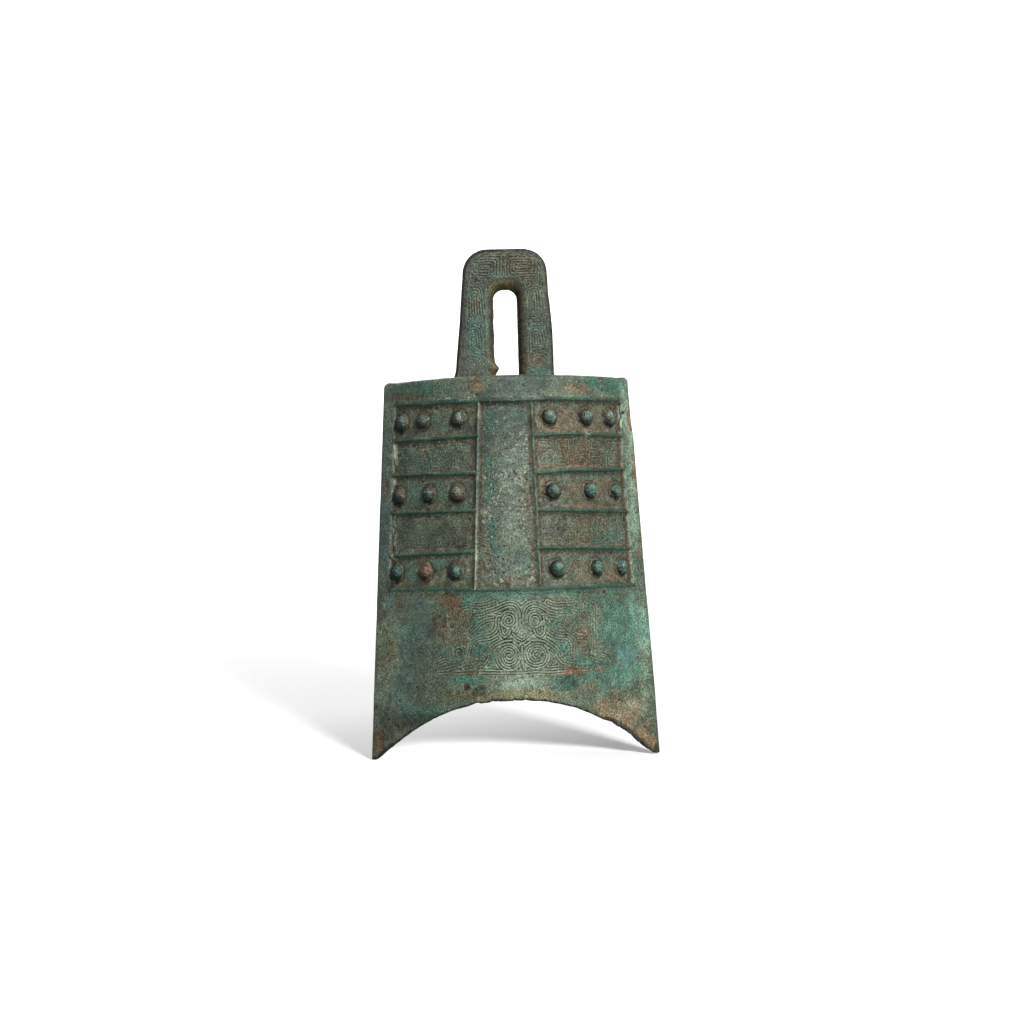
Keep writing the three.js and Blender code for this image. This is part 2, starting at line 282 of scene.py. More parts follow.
class Rule(Tree):
    """A Geometry Nodes tree that shapes a piece from named sizes."""

    def __init__(self, name, sizes):
        self.tree = bpy.data.node_groups.new(name, "GeometryNodeTree")
        self.keys = {}
        self.tree.interface.new_socket("Geometry", in_out="OUTPUT", socket_type="NodeSocketGeometry")
        kinds = {"Geometry": "Geometry", **dict.fromkeys(sizes, "Float"), "Finish": "Material"}
        for label, kind in kinds.items():
            socket = self.tree.interface.new_socket(label, in_out="INPUT", socket_type=f"NodeSocket{kind}")
            self.keys[label] = socket.identifier
        self.given = self.tree.nodes.new("NodeGroupInput").outputs

    def between(self, a, b, share):
        """The size that lies a share of the way from one to another."""
        return self.math("ADD", a, self.math("MULTIPLY", share, self.math("SUBTRACT", b, a)))

    def place(self):
        position = self.node("GeometryNodeInputPosition").outputs[0]
        return self.node("ShaderNodeSeparateXYZ", {0: position}).outputs

    def held(self, name, kind="FLOAT"):
        """A value that the pattern's points hold."""
        return self.node("GeometryNodeInputNamedAttribute", {"Name": name}, data_type=kind).outputs[0]

    def point(self, x, y, z):
        return self.node("ShaderNodeCombineXYZ", {0: x, 1: y, 2: z}).outputs[0]

    def move(self, geometry, x, y, z):
        values = {"Geometry": geometry, "Position": self.point(x, y, z)}
        return self.node("GeometryNodeSetPosition", values).outputs[0]

    def real(self, geometry):
        return self.node("GeometryNodeRealizeInstances", {"Geometry": geometry}).outputs[0]

    def finish(self, geometry):
        """Ends the tree: instances made real, and the finish put on."""
        values = {"Geometry": self.real(geometry), "Material": self.given["Finish"]}
        dressed = self.node("GeometryNodeSetMaterial", values).outputs[0]
        self.join(self.tree.nodes.new("NodeGroupOutput").inputs[0], dressed)
        return self

    def grow(self, pattern, finish, sizes):
        """The plain mesh that the tree makes of a pattern."""
        holder = bpy.data.objects.new(pattern.name, pattern)
        bpy.context.scene.collection.objects.link(holder)
        modifier = holder.modifiers.new(self.tree.name, "NODES")
        modifier.node_group = self.tree
        for label, value in sizes.items():
            modifier[self.keys[label]] = float(value)
        modifier[self.keys["Finish"]] = finish
        grown = holder.evaluated_get(bpy.context.evaluated_depsgraph_get())
        mesh = bpy.data.meshes.new_from_object(grown)
        holder.modifiers.remove(modifier)
        bpy.data.objects.remove(holder)
        bpy.data.meshes.remove(pattern)
        return mesh


# Threads of ornament

def rounded(points, times=3):
    """An open line with its corners cut smooth."""
    line = np.asarray(points, float)
    for _ in range(times):
        a = line[:-1] * 0.75 + line[1:] * 0.25
        b = line[:-1] * 0.25 + line[1:] * 0.75
        line = np.concatenate([line[:1], np.stack([a, b], 1).reshape(-1, 2), line[-1:]])
    return line


def coil(cx, cz, outer, inner, turns, start, rise=1.0):
    """A spiral thread. Rise stretches its upper half."""
    t = np.linspace(0.0, 1.0, int(24 * turns) + 2)
    angle = math.radians(start) + math.tau * turns * t
    radius = lerp(outer, inner, t)
    x, z = cx + radius * np.cos(angle), radius * np.sin(angle)
    return np.stack([x, cz + np.where(z > 0, z * rise, z)], 1)


def small_corners(points, radius=0.55):
    """A line of straight runs with small round corners."""
    line = np.asarray(points, float)
    turned = [line[0]]
    for a, b, c in zip(line[:-2], line[1:-1], line[2:]):
        back, ahead = np.linalg.norm(a - b), np.linalg.norm(c - b)
        p = b + (a - b) * min(radius / back, 0.5)
        q = b + (c - b) * min(radius / ahead, 0.5)
        turned += [p, (p + 2 * b + q) / 4, q]
    return np.array(turned + [line[-1]])


def square_coil(cx, cz, half_wide, half_high, hand=1.0, corner=0.55):
    """A rectangular spiral thread that winds in from a corner."""
    points = [(cx - hand * half_wide, cz - half_high)]
    w, h = half_wide, half_high
    while min(w, h) > 0.4 * COIL_PITCH:
        points += [(cx + hand * w, cz - h), (cx + hand * w, cz + h), (cx - hand * w, cz + h)]
        h -= COIL_PITCH
        if h < 0.4 * COIL_PITCH:
            break
        points.append((cx - hand * w, cz - h))
        w -= COIL_PITCH
    return small_corners(points, corner)


class Engraving:
    """Distances in mm to the threads drawn on a face, kept on a fine raster.

    Between the drawn threads, more of them echo their course, one pitch apart.
    """

    def __init__(self, x0, x1, z0, z1, strokes, seed, pitch=1.22, step=0.17):
        self.x0, self.z0, self.step, self.pitch = x0, z0, step, pitch
        dots = []
        for stroke in strokes:
            line = np.asarray(stroke, float)
            lengths = np.linalg.norm(np.diff(line, axis=0), axis=1)
            travelled = np.concatenate([[0.0], np.cumsum(lengths)])
            stops = np.arange(0.0, travelled[-1] + 0.1, 0.1)
            dots.append(np.stack([np.interp(stops, travelled, line[:, i]) for i in (0, 1)], 1))
        dots = np.concatenate(dots)
        spots = at(dots[:, 0], 13.0, dots[:, 1])
        dots = dots + 0.5 * np.stack([grain(spots, 5.0, seed), grain(spots, 5.0, seed + 3)], 1)
        dots = dots + 0.12 * np.stack([grain(spots, 1.6, seed + 5), grain(spots, 1.6, seed + 6)], 1)
        tree = KDTree(len(dots))
        for i, (x, z) in enumerate(dots):
            tree.insert((x, 0.0, z), i)
        tree.balance()
        xs, zs = np.arange(x0, x1, step), np.arange(z0, z1, step)
        self.distance = np.array([[tree.find((x, 0.0, z))[2] for x in xs] for z in zs])

    def sample(self, x, z):
        rows, columns = self.distance.shape
        u = np.clip((x - self.x0) / self.step, 0, columns - 1.001)
        v = np.clip((z - self.z0) / self.step, 0, rows - 1.001)
        j, i = u.astype(int), v.astype(int)
        fu, fv = u - j, v - i
        d = self.distance
        near = d[i, j] * (1 - fu) + d[i, j + 1] * fu
        far = d[i + 1, j] * (1 - fu) + d[i + 1, j + 1] * fu
        return near * (1 - fv) + far * fv

    def groove(self, x, z, wide=0.46):
        """1 in the narrow grooves between the threads and 0 on the threads."""
        wave = 0.5 - 0.5 * np.cos(math.tau * self.sample(x, z) / self.pitch)
        return ease(wave, 1.0 - wide, 1.0)

    def near(self, x, z, distance):
        """1 within a distance of the drawn threads and 0 further off."""
        return ease(distance - self.sample(x, z), -0.5, 0.5)


# Outlines of the hanging loop

LEG_STEPS, CORNER_STEPS, FLAT_STEPS = 160, 92, 22


def half_u(foot, top, height, radius):
    """Half an upside-down U as x and z over the top plate, from the foot to the middle."""
    base = height - radius
    rise = np.linspace(0.0, 1.0, LEG_STEPS, endpoint=False)
    leg = np.stack([lerp(foot, top, rise), base * rise], 1)
    turn = np.linspace(0.0, math.pi / 2, CORNER_STEPS)
    bend = np.stack([top - radius + radius * np.cos(turn), base + radius * np.sin(turn)], 1)
    run = np.linspace(0.0, 1.0, FLAT_STEPS + 1)[1:]
    crown = np.stack([lerp(top - radius, 0.0, run), np.full(FLAT_STEPS, height)], 1)
    return np.concatenate([leg, bend, crown])


def whole_u(right, left, centre=0.0):
    """Two halves joined in the middle, the second one mirrored."""
    return np.concatenate([right, (left * [-1.0, 1.0])[-2::-1]]) + [centre, 0.0]


def outer_u(inset):
    """The loop's outline, or one that lies inside it by an inset."""
    foot, top = LOOP_FOOT_HALF - inset, LOOP_TOP_HALF - inset
    half = half_u(foot, top, LOOP_HEIGHT - inset, LOOP_CORNER - inset / 2)
    return whole_u(half, half)


def window_u(right_out, left_out, crown_out):
    """The window's outline, let out on its right, left and crown."""
    halves = []
    for out in (right_out, left_out):
        half = half_u(WINDOW_FOOT_HALF + out, WINDOW_TOP_HALF + out, WINDOW_HEIGHT, WINDOW_CORNER)
        half[:, 1] += crown_out * ease(half[:, 1], 30.0, WINDOW_HEIGHT)
        halves.append(half)
    return whole_u(*halves, WINDOW_CENTRE)


def swayed(outline):
    """The loop leans a little to the right over its feet, and its legs swell halfway up."""
    x, z = outline.T
    lean = 0.55 * ease(z, 2.0, 24.0) - 0.35 * (1.0 - ease(z, 0.0, 12.0))
    lean = lean - (0.3 + 0.4 * bump(z, 13.0, 9.0)) * (x < 0)
    lean = lean + 0.4 * ease(z, 40.0, 48.0) * (x > 12.0)
    swell = 0.35 * bump(z, 32.0, 16.0) * np.sign(x)
    return outline + np.stack([lean + swell, np.zeros(len(outline))], 1)


# Ornament

def scroll_strokes():
    """The coiled dragon scroll under the frame, mirrored about its axis."""
    half = [
        rounded([
            (21.0, 68.4), (15.6, 69.2), (11.4, 71.0), (8.4, 72.6), (5.0, 73.2), (2.2, 71.8), (0.9, 69.0),
            (0.65, 65.0), (1.2, 62.2), (2.8, 60.2),
        ]),
        coil(6.2, 65.5, 2.9, 0.35, 2.2, 10, 1.15),
        rounded([
            (10.3, 67.0), (10.6, 63.0), (10.4, 60.6), (9.8, 58.6), (8.0, 57.4), (6.2, 58.6), (5.4, 61.2),
        ]),
        coil(6.3, 49.4, 5.6, 0.45, 4.3, 60, 0.97),
        rounded([(12.6, 67.4), (16.6, 66.8), (20.0, 65.4), (22.6, 62.4), (24.8, 60.2), (27.0, 59.4)]),
        small_corners([(22.8, 69.9), (26.2, 69.2), (27.6, 67.2), (26.6, 65.2), (28.0, 62.6)], 1.3),
        coil(29.4, 51.2, 3.4, 0.8, 1.6, 250),
        rounded([
            (11.0, 63.0), (12.2, 60.2), (14.6, 58.5), (20.4, 57.9), (22.8, 56.2), (23.8, 53.0), (24.2, 49.6),
            (26.0, 47.2), (31.0, 45.3), (38.5, 43.9),
        ]),
        rounded([
            (4.6, 56.3), (9.0, 56.0), (12.8, 54.1), (16.0, 50.9), (17.6, 47.4), (21.0, 45.5), (26.5, 44.4),
        ]),
        rounded([(0.0, 56.2), (2.2, 57.6), (4.4, 59.6)], 2),
        rounded([(0.0, 44.0), (0.3, 49.0), (0.0, 53.6)], 2),
        rounded([(12.4, 73.4), (16.0, 71.8), (21.0, 71.5), (24.6, 72.4), (27.4, 71.6)], 2),
        small_corners([(25.4, 56.6), (29.6, 56.9), (31.2, 55.2)], 1.0),
        small_corners([(31.6, 47.6), (33.6, 46.4), (35.6, 47.6), (38.8, 46.2)]),
        rounded([(32.6, 48.8), (32.4, 58.0), (32.8, 70.4)], 1),
        rounded([(0.0, 41.9), (20.0, 42.0), (38.6, 41.8)], 1),
    ]
    return [stroke * [side, 1.0] + [SCROLL_AXIS, 0.0] for side in (-1.0, 1.0) for stroke in half]


def fret_strokes():
    """Rows of rectangular spirals for the second and fourth rows of the frame."""
    strokes = []
    for low, high in FRET_ROWS:
        middle, quarter = (low + high) / 2, (high - low) / 4
        for start, end in FRET_ENDS:
            width = (end - start) / FRET_CELLS
            for i in range(FRET_CELLS):
                for row, cz in enumerate((middle - quarter, middle + quarter)):
                    hand = 1.0 if (i + row) % 2 else -1.0
                    cx = start + (i + 0.5) * width
                    strokes.append(square_coil(cx, cz, width / 2 - 0.55, quarter - 0.5, hand))
    return strokes


def loop_strokes():
    """Rims, squared spirals and round-topped spirals for the panels of the hanging loop."""
    lift = [0.0, BODY_HEIGHT]
    rims = [swayed(outer_u(inset)) + lift for inset in (1.9, 3.1)]
    strokes = rims + [window_u(4.4, 3.6, 5.4) + lift]
    for side in (-1.0, 1.0):
        strokes.append(square_coil(side * 8.8, 231.2, 6.3, 4.3, -side, 1.3))
        strokes.append(np.array([(side * 1.1, 225.8), (side * 1.1, 236.6)]))
        for low, high in ((205.4, 222.4), (190.8, 203.6), (180.6, 189.2)):
            centre = side * lerp(15.6, 14.0, (low - 180.0) / 30.0)
            wide = 4.3 if low > 185.0 else 4.9
            for k in range(3):
                w, top = wide - COIL_PITCH * k, high - COIL_PITCH * k
                shoulder = top - 0.8 * w
                foot = low + COIL_PITCH * k
                strokes.append(rounded([
                    (centre - w, foot), (centre - w, shoulder), (centre - 0.6 * w, top), (centre, top + 0.1),
                    (centre + 0.6 * w, top), (centre + w, shoulder), (centre + w, foot),
                    (centre - (w - 1.3) * side * (k % 2), foot),
                ], 2))
    return strokes


# The wall's smooth surface

def half_width(z):
    return lerp(LIP_HALF_WIDTH, TOP_HALF_WIDTH, z / BODY_HEIGHT)


def half_depth(z):
    return lerp(LIP_HALF_DEPTH, TOP_HALF_DEPTH, z / BODY_HEIGHT)


def border(z):
    return half_width(z) - SIDE_MARGIN


def upright(ends, z):
    return lerp(ends[1], ends[0], (z - FRAME_BOTTOM) / (FRAME_TOP - FRAME_BOTTOM))


WALL_SIZES = {
    "Body Height": BODY_HEIGHT, "Lip Half Width": LIP_HALF_WIDTH, "Top Half Width": TOP_HALF_WIDTH,
    "Lip Half Depth": LIP_HALF_DEPTH, "Top Half Depth": TOP_HALF_DEPTH, "Ridge Rounding": RIDGE_ROUNDING,
}


def almond_wall():
    """The rule of the wall: an almond section that widens from the top down to the lip.

    A point of the pattern holds its share of the half width, its inset into the wall and its height.
    Its attribute side is -1 on the front, 1 on the back and between them inside.
    """
    r = Rule("almond_wall", WALL_SIZES)
    share, inset, height = r.place()
    up = r.math("DIVIDE", height, r.given["Body Height"])
    wide = r.between(r.given["Lip Half Width"], r.given["Top Half Width"], up)
    deep = r.between(r.given["Lip Half Depth"], r.given["Top Half Depth"], up)
    lean = r.math("DIVIDE", r.math("MULTIPLY", wide, 0.5), deep)
    slant = r.math("SQRT", r.math("ADD", 1.0, r.math("POWER", lean, 2.0)))
    wide = r.math("SUBTRACT", wide, r.math("MULTIPLY", inset, slant))
    deep = r.math("SUBTRACT", deep, inset)
    square = r.math("MULTIPLY", share, share)
    y = r.math("MULTIPLY", deep, r.math("SUBTRACT", 1.0, square))
    radius = r.given["Ridge Rounding"]
    blunt = r.math("SQRT", r.math("ADD", r.math("MULTIPLY", y, y), r.math("MULTIPLY", radius, radius)))
    pull = r.math("MULTIPLY", r.math("SUBTRACT", blunt, y), r.step(y, *RIDGE_FADE, 1.0, 0.0))
    drawn = r.math("MAXIMUM", r.math("SUBTRACT", square, r.math("DIVIDE", pull, deep)), 0.0)
    x = r.math("MULTIPLY", r.math("MULTIPLY", wide, r.math("SIGN", share)), r.math("SQRT", drawn))
    return r.finish(r.move(r.given["Geometry"], x, r.math("MULTIPLY", y, r.held("side")), height))


WALL_RULE = almond_wall()


def reach(share, z, inset=0.0):
    """How far from the middle a share of the width is, at height z in an inset wall."""
    return share * (half_width(z) - inset * np.hypot(1.0, half_width(z) / (2.0 * half_depth(z))))


def wall_normal(face, x, z):
    """The direction square to a face, at x and height z."""
    a, b = half_width(z), half_depth(z)
    slope_a = (TOP_HALF_WIDTH - LIP_HALF_WIDTH) / BODY_HEIGHT
    slope_b = (TOP_HALF_DEPTH - LIP_HALF_DEPTH) / BODY_HEIGHT
    share = x / a
    n = np.array([
        2.0 * b * x / a**2,
        FACE_SIGN[face],
        -(slope_b * (1.0 - share**2) + 2.0 * b * share**2 * slope_a / a),
    ])
    return n / np.linalg.norm(n)


def lip_height(x):
    """Height of the arched lip at x, with the nicks that wear has left."""
    share = np.clip(np.abs(x) / ARCH_REACH, 0.0, 1.0)
    arch = ARCH_HEIGHT * (1.0 - share**ARCH_POWER)
    spots = at(x, 0.0, 0.0)
    ragged = layered(spots, 3.2, 3, 5) + 0.5 * layered(spots, 1.5, 2, 6)
    return arch + bumps(x, LIP_WEAR, 0.15) * np.clip(0.4 + 3.6 * ragged, -0.5, 1.5) + bumps(x, LIP_NICKS)


def node_points(name):
    """The corners of a node's solid."""
    return np.array([v.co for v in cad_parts[name].data.vertices]) / MM


def boss_seats():
    """The bosses' names, places in the rows, feet on the field's floor and outward directions."""
    seats = []
    for name in sorted(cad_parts):
        if not name.startswith("boss_"):
            continue
        seat = dict(zip(("face", "side", "row", "column"), name.split("_")[1:]))
        spots = node_points(name)
        middle = spots.mean(0)
        outward = wall_normal(seat["face"], middle[0], middle[2])
        apex = spots[np.argmax(spots @ outward)]
        seats.append({"name": name, "floor": apex - outward * BOSS_RISE, "outward": outward, **seat})
    return seats


def outermost(seat, side):
    """Whether a boss is one of the front's outer ones on this side."""
    return (seat["face"], seat["side"], seat["column"]) == ("front", side, "outer")


SEATS = boss_seats()
SCROLL = Engraving(-40.0, 48.0, 39.0, 78.0, scroll_strokes(), 3)
FRETS = Engraving(-58.0, 58.0, 97.0, 151.0, fret_strokes(), 2, 1.25, 0.2)

# Patches of patina and of painted light and shade by face: middle x and z, reach sideways and up, strength.
# The pale ones in the middle paint a broad sheen, the pale yellow strips along the field's left border and
# over the ribs paint highlights where light falls, the darkening ones are partly painted shade, over the
# middle and along the bottom rib, and the brightening ones partly painted light, most on the right side.
PATCHES = {
    "front": {
        "teal": [
            (50, 60, 14, 20, 0.65), (45, 40, 16, 8, 0.6), (58, 120, 5, 70, 0.2), (-22, 39.6, 10, 2.8, 1),
            (24, 36.5, 5, 4, 0.9), (44, 174, 14, 5, 0.75), (-42, 173, 14, 4, 0.7), (8, 174, 12, 4, 0.4),
            (-50, 60, 11, 13, 0.45), (0, 77.5, 40, 3.2, 0.8), (-34, 92, 6, 5, 0.6), (-40, 140, 11, 6, 0.5),
            (-20, 76, 5, 3, 0.8), (-34, 157, 12, 6, 0.4), (-42, 124, 14, 6, 0.5), (22, 88, 5, 5, 0.5),
            (40, 88, 5, 5, 0.4), (-8, 158, 9, 10, 0.8), (-9, 136, 5, 20, 0.8), (-14, 52, 6, 6, 0.8),
            (20, 52, 6, 6, 0.6), (-42, 24, 12, 5, 0.6), (30, 82, 24, 2, 0.6), (-16, 63, 6, 9, 0.75),
            (-19, 72, 5, 4, 0.8), (-12, 50, 5, 7, 0.6), (20, 64, 6, 7, 0.6), (23, 51, 6, 6, 0.75),
            (30, 72, 7, 5, 0.5), (33, 46, 8, 2.4, 0.9), (-25, 51, 7, 5, 0.5), (-8, 103, 5, 10, 0.8),
            (-9, 128, 4, 8, 0.6), (4, 160, 7, 8, 0.6), (5, 92, 5, 7, 0.5), (46, 142, 6, 5, 0.6),
            (26, 121, 5, 6, 0.6), (44, 103, 8, 5, 0.75), (27, 90, 4, 5, 0.6), (-24, 160, 6, 6, 0.5),
            (-46, 88, 6, 5, 0.6), (-34, 118, 16, 4, 0.4), (-36, 143, 12, 5, 0.4), (52, 124, 4, 5, 0.5),
            (38, 160, 4, 5, 0.4),
        ],
        "blue": [
            (-42, 72, 7, 5, 0.6), (-40, 62, 6, 8, 0.45), (-47, 50, 8, 10, 0.4), (-52, 36, 9, 9, 0.5),
            (-56, 66, 4, 8, 0.4), (-7, 100, 4, 6, 0.3), (3, 137, 5, 10, 0.3), (-57, 110, 3, 55, 0.6),
            (53, 50, 9, 8, 0.55), (-2, 120, 6, 8, 0.2),
        ],
        "pale": [
            (3, 40, 12, 9, 1), (4, 63, 7, 13, 1), (3, 49, 9, 6, 0.8), (2, 132, 7, 15, 1),
            (4, 106, 7, 12, 0.8), (-3, 92, 8, 9, 0.7), (61, 57, 4, 13, 0.9), (57, 120, 3, 62, 1),
            (-57, 52, 7, 22, 0.5), (0, 172, 16, 5, 0.12), (20, 168.5, 30, 1.6, 0.5), (60, 30, 5, 10, 0.4),
            (56, 16, 8, 8, 0.8), (-53.7, 120, 1.6, 34, 0.9), (53, 85, 3, 6, 0.8), (40, 58, 4, 12, 0.4),
            (9, 150, 4, 12, 0.5),
        ],
        "earth": [
            (34, 158, 22, 8, 0.55), (34, 142, 21, 7, 0.75), (34, 124, 21, 8, 0.6), (33, 106, 21, 8, 0.6),
            (34, 88, 22, 7, 0.45), (-34, 158, 20, 8, 0.4), (-33, 106, 19, 8, 0.25), (-23, 106, 7, 7, 0.5),
            (-34, 88, 20, 7, 0.5), (-30, 74, 7, 5, 0.8), (-26, 66, 7, 6, 0.75), (-25, 57, 6, 5, 0.7),
            (-35, 65, 4, 5, 0.6), (33, 58, 4, 6, 0.8), (36, 52, 4, 4, 0.6), (-57, 55, 6, 12, 0.6),
            (-54, 70, 4, 5, 0.5), (-61, 47, 4, 10, 0.7), (45, 25, 12, 6, 0.5), (36, 34, 6, 4, 0.5),
            (57, 14, 7, 7, 0.5), (62, 8, 6, 9, 0.8), (-64, 6, 5, 10, 0.9), (-13, 173, 7, 4, 0.9),
            (33, 173, 12, 4, 0.7), (-47, 170, 10, 2.4, 0.8), (-8, 33, 34, 3.4, 0.55),
            (0, 83.5, 13, 2.6, 0.6), (9, 122, 3, 18, 0.45), (28, 42, 6, 3, 0.8), (-26, 42.5, 12, 1.6, 0.8),
            (-14, 48, 5, 3, 0.4), (-57, 129, 2, 6, 0.8), (-62, 62, 3, 18, 0.5), (10, 103, 4, 9, 0.4),
            (58.8, 158, 2.6, 13, 1), (60.4, 134, 3.4, 14, 1), (62, 100, 3, 20, 0.5), (-40, 118, 14, 3, 0.5),
            (4, 57.5, 9, 3, 0.4), (18, 74, 12, 2, 0.6),
        ],
        "rust": [
            (28, 42, 5, 2.6, 0.8), (29, 52, 2, 2, 0.8), (53, 17, 5, 3, 0.8), (-63, 5, 4, 6, 0.8),
            (-41, 88, 5, 4, 0.5), (37, 136, 18, 1.4, 0.8), (34, 118, 20, 1.2, 0.6), (10, 121, 1.6, 8, 0.7),
            (-30, 114, 9, 1.6, 0.6), (59, 154, 2.2, 12, 0.8), (60.6, 132, 3, 12, 0.8),
            (-2, 43.5, 3, 1.2, 0.8), (-15, 69, 3, 3, 0.7), (-27, 72, 4, 3, 0.7), (-14, 82.5, 2.6, 4, 0.6),
            (-1, 57.5, 3, 1, 0.7), (47, 83, 8, 1.4, 0.6), (24, 72.5, 6, 1.6, 0.6), (-2, 77.8, 10, 0.9, 0.4),
            (33, 150.6, 4, 1, 0.7), (56, 20, 5, 4, 0.6), (60, 9, 5, 6, 0.5), (44, 29, 5, 4, 0.4),
            (-48, 170.5, 7, 1.6, 0.5), (-33, 131, 14, 1.2, 0.4),
        ],
        "dark": [
            (-60, 110, 4, 60, 0.3), (-35, 66, 6, 10, 0.35), (-50, 44, 10, 14, 0.4), (-45, 20, 14, 5, 0.6),
            (-15, 35, 4, 3, 0.7), (24, 36.5, 5, 3.6, 0.6), (60, 12, 9, 9, 0.35), (-61, 16, 6, 14, 0.5),
            (66.5, 2.5, 2.5, 3.5, 1), (26, 163, 14, 4, 0.4), (22, 108, 8, 6, 0.5), (20, 122, 6, 5, 0.5),
            (-28, 104, 8, 7, 0.5), (-22, 52, 5, 5, 0.4), (-32, 90, 5, 4, 0.5), (48, 160, 6, 5, 0.3),
            (10, 153, 3, 5, 0.4),
        ],
        "olive": [
            (-10, 32, 36, 2.8, 0.75), (38, 26, 14, 4, 0.5), (-50, 14, 12, 9, 0.4), (20, 32, 14, 2.4, 0.5),
        ],
        "tan": [
            (44, 26, 10, 5, 0.4), (55, 16, 8, 6, 0.4), (61, 9, 5, 9, 0.6), (36, 34, 6, 4, 0.4),
            (33, 57, 3, 7, 0.5), (34, 159, 20, 6, 0.5), (30, 152.2, 24, 1.2, 0.8), (35, 135.9, 20, 1.2, 1),
            (34, 126, 20, 7, 0.45), (34, 88, 20, 6, 0.4), (32, 117, 22, 1.1, 0.7), (-30, 60, 4, 6, 0.5),
            (51, 141, 1.2, 5, 0.5), (-12, 172, 5, 3, 0.7), (34, 172, 12, 3, 0.6), (24, 41.6, 16, 0.9, 0.9),
            (41, 42.3, 2, 1.2, 1), (-11.4, 120, 0.8, 40, 0.6), (-36, 98.6, 16, 0.9, 0.6),
            (-35, 152, 18, 0.9, 0.5), (59.2, 156, 2, 12, 0.6), (60.8, 132, 2.6, 14, 0.7),
            (50, 18, 12, 8, 0.5), (-50, 84, 5, 3, 0.5), (48, 84, 6, 2, 0.6), (-66, 4, 3, 7, 0.4),
        ],
        "cream_and_highlight": [
            (-52.9, 144, 0.7, 5.4, 1), (-53.5, 130, 0.8, 3, 1), (-54.5, 108, 0.7, 8.5, 1),
            (-55.4, 95, 0.9, 3, 1), (-56, 86, 0.8, 2, 0.9), (20, 168.1, 28, 0.25, 0.7),
            (-26, 168.2, 16, 0.35, 0.7), (53.5, 97, 0.5, 6, 0.5), (55, 84, 0.5, 4, 0.5),
            (-51.6, 164, 0.5, 2, 0.5), (62, 50, 1.2, 14, 0.35), (29, 151.1, 7, 0.25, 0.4),
            (-24, 151, 10, 0.25, 0.4),
        ],
        "darkened": [
            (-3, 128, 15, 56, 0.55), (-4, 158, 15, 16, 1), (4, 173, 24, 7, 1), (-4, 170, 6, 6, 0.4),
            (-10, 150, 5, 24, 0.5), (33, 125, 24, 50, 0.25), (5, 60, 26, 20, 0.22), (-34, 142, 20, 9, 0.25),
            (-34, 106, 20, 9, 0.3), (-45, 173, 14, 6, 0.3), (-35, 90, 3, 3, 0.4), (11, 100, 3, 26, 0.3),
            (26, 36, 5, 3, 0.3), (-16, 62, 7, 14, 0.35), (21, 60, 7, 14, 0.3), (0, 77, 26, 2, 0.35),
            (0, 80, 26, 1.4, 0.7), (-13, 120, 3, 45, 0.4), (8, 162, 4, 8, 0.4), (-50, 173, 9, 5, 0.3),
        ],
        "brightened": [
            (60, 130, 4, 55, 0.8), (56, 160, 3, 18, 0.9), (53, 15, 11, 11, 0.9), (-57, 52, 10, 26, 1),
            (56, 50, 9, 24, 0.9), (-34, 89, 20, 8, 0.35), (3, 34, 22, 5, 0.6), (61, 60, 3, 40, 0.4),
            (-64, 30, 4, 22, 0.5), (48, 20, 14, 7, 0.5),
        ],
    },
    "back": {
        "teal": [(-40, 60, 22, 18, 0.8), (30, 120, 26, 30, 0.5), (0, 40, 30, 8, 0.6), (50, 60, 9, 30, 0.6)],
        "blue": [(38, 60, 12, 10, 0.8), (-30, 160, 12, 8, 0.5), (10, 70, 10, 5, 0.5)],
        "pale": [
            (0, 120, 10, 40, 0.8), (0, 55, 16, 16, 0.7), (-55, 120, 4, 40, 0.5), (10, 172, 20, 4, 0.5),
        ],
        "earth": [
            (-34, 142, 21, 8, 0.7), (34, 106, 21, 8, 0.6), (-34, 88, 20, 7, 0.5), (30, 157, 20, 8, 0.5),
            (30, 62, 12, 10, 0.8), (-45, 24, 16, 7, 0.8), (56, 12, 9, 10, 0.8), (0, 33, 36, 3.4, 0.6),
            (20, 173, 20, 4, 0.7), (-60, 90, 4, 30, 0.5),
        ],
        "rust": [(-36, 136, 16, 1.4, 0.7), (28, 46, 6, 3, 0.7), (-54, 18, 5, 4, 0.8), (40, 88, 4, 4, 0.6)],
        "dark": [(60, 110, 4, 50, 0.6), (-36, 60, 8, 10, 0.4), (20, 104, 10, 7, 0.5), (46, 22, 12, 6, 0.5)],
        "olive": [(10, 32.5, 36, 3.4, 0.8), (-46, 20, 14, 6, 0.5)],
        "tan": [
            (-44, 24, 14, 5, 0.8), (-34, 136, 20, 1.2, 0.8), (34, 117.5, 20, 1.2, 0.8), (32, 60, 5, 8, 0.7),
        ],
        "cream_and_highlight": [(53.5, 130, 0.6, 6, 0.8), (-54.3, 104, 0.6, 6, 0.8), (-20, 168.2, 24, 0.3, 0.7)],
        "darkened": [
            (2, 128, 15, 56, 0.4), (0, 172, 26, 7, 0.4), (-30, 120, 20, 40, 0.3), (20, 60, 20, 20, 0.3),
        ],
        "brightened": [(-60, 120, 4, 55, 0.6), (58, 50, 8, 24, 0.5), (-50, 40, 10, 20, 0.3)],
    },
}
MASKS = (
    "grime_and_shade", "crest", "shade", "earth", "tan", "rust", "pale", "cream_and_highlight", "teal", "blue", "dark", "olive",
    "darkened", "brightened",
)
# How strongly the crust along the right of the front's lip raises each mask
LIP_CRUST = {"earth": 0.7, "tan": 0.55, "rust": 0.3, "brightened": 0.4, "pale": 0.2}


def patch_mask(patches, x, z, ragged, sway=(0.0, 0.0)):
    """How strongly any of these patches covers a place. Ragged noise and sway break their outlines."""
    mask = np.zeros_like(x)
    for cx, cz, rx, rz, strength in patches:
        give = 1.1 * min(rx, rz)
        far = np.hypot((x - cx + give * sway[0]) / rx, (z - cz + give * sway[1]) / rz)
        mask = np.maximum(mask, strength * (1.0 - ease(far + 0.85 * ragged, 0.5, 1.25)))
    return mask


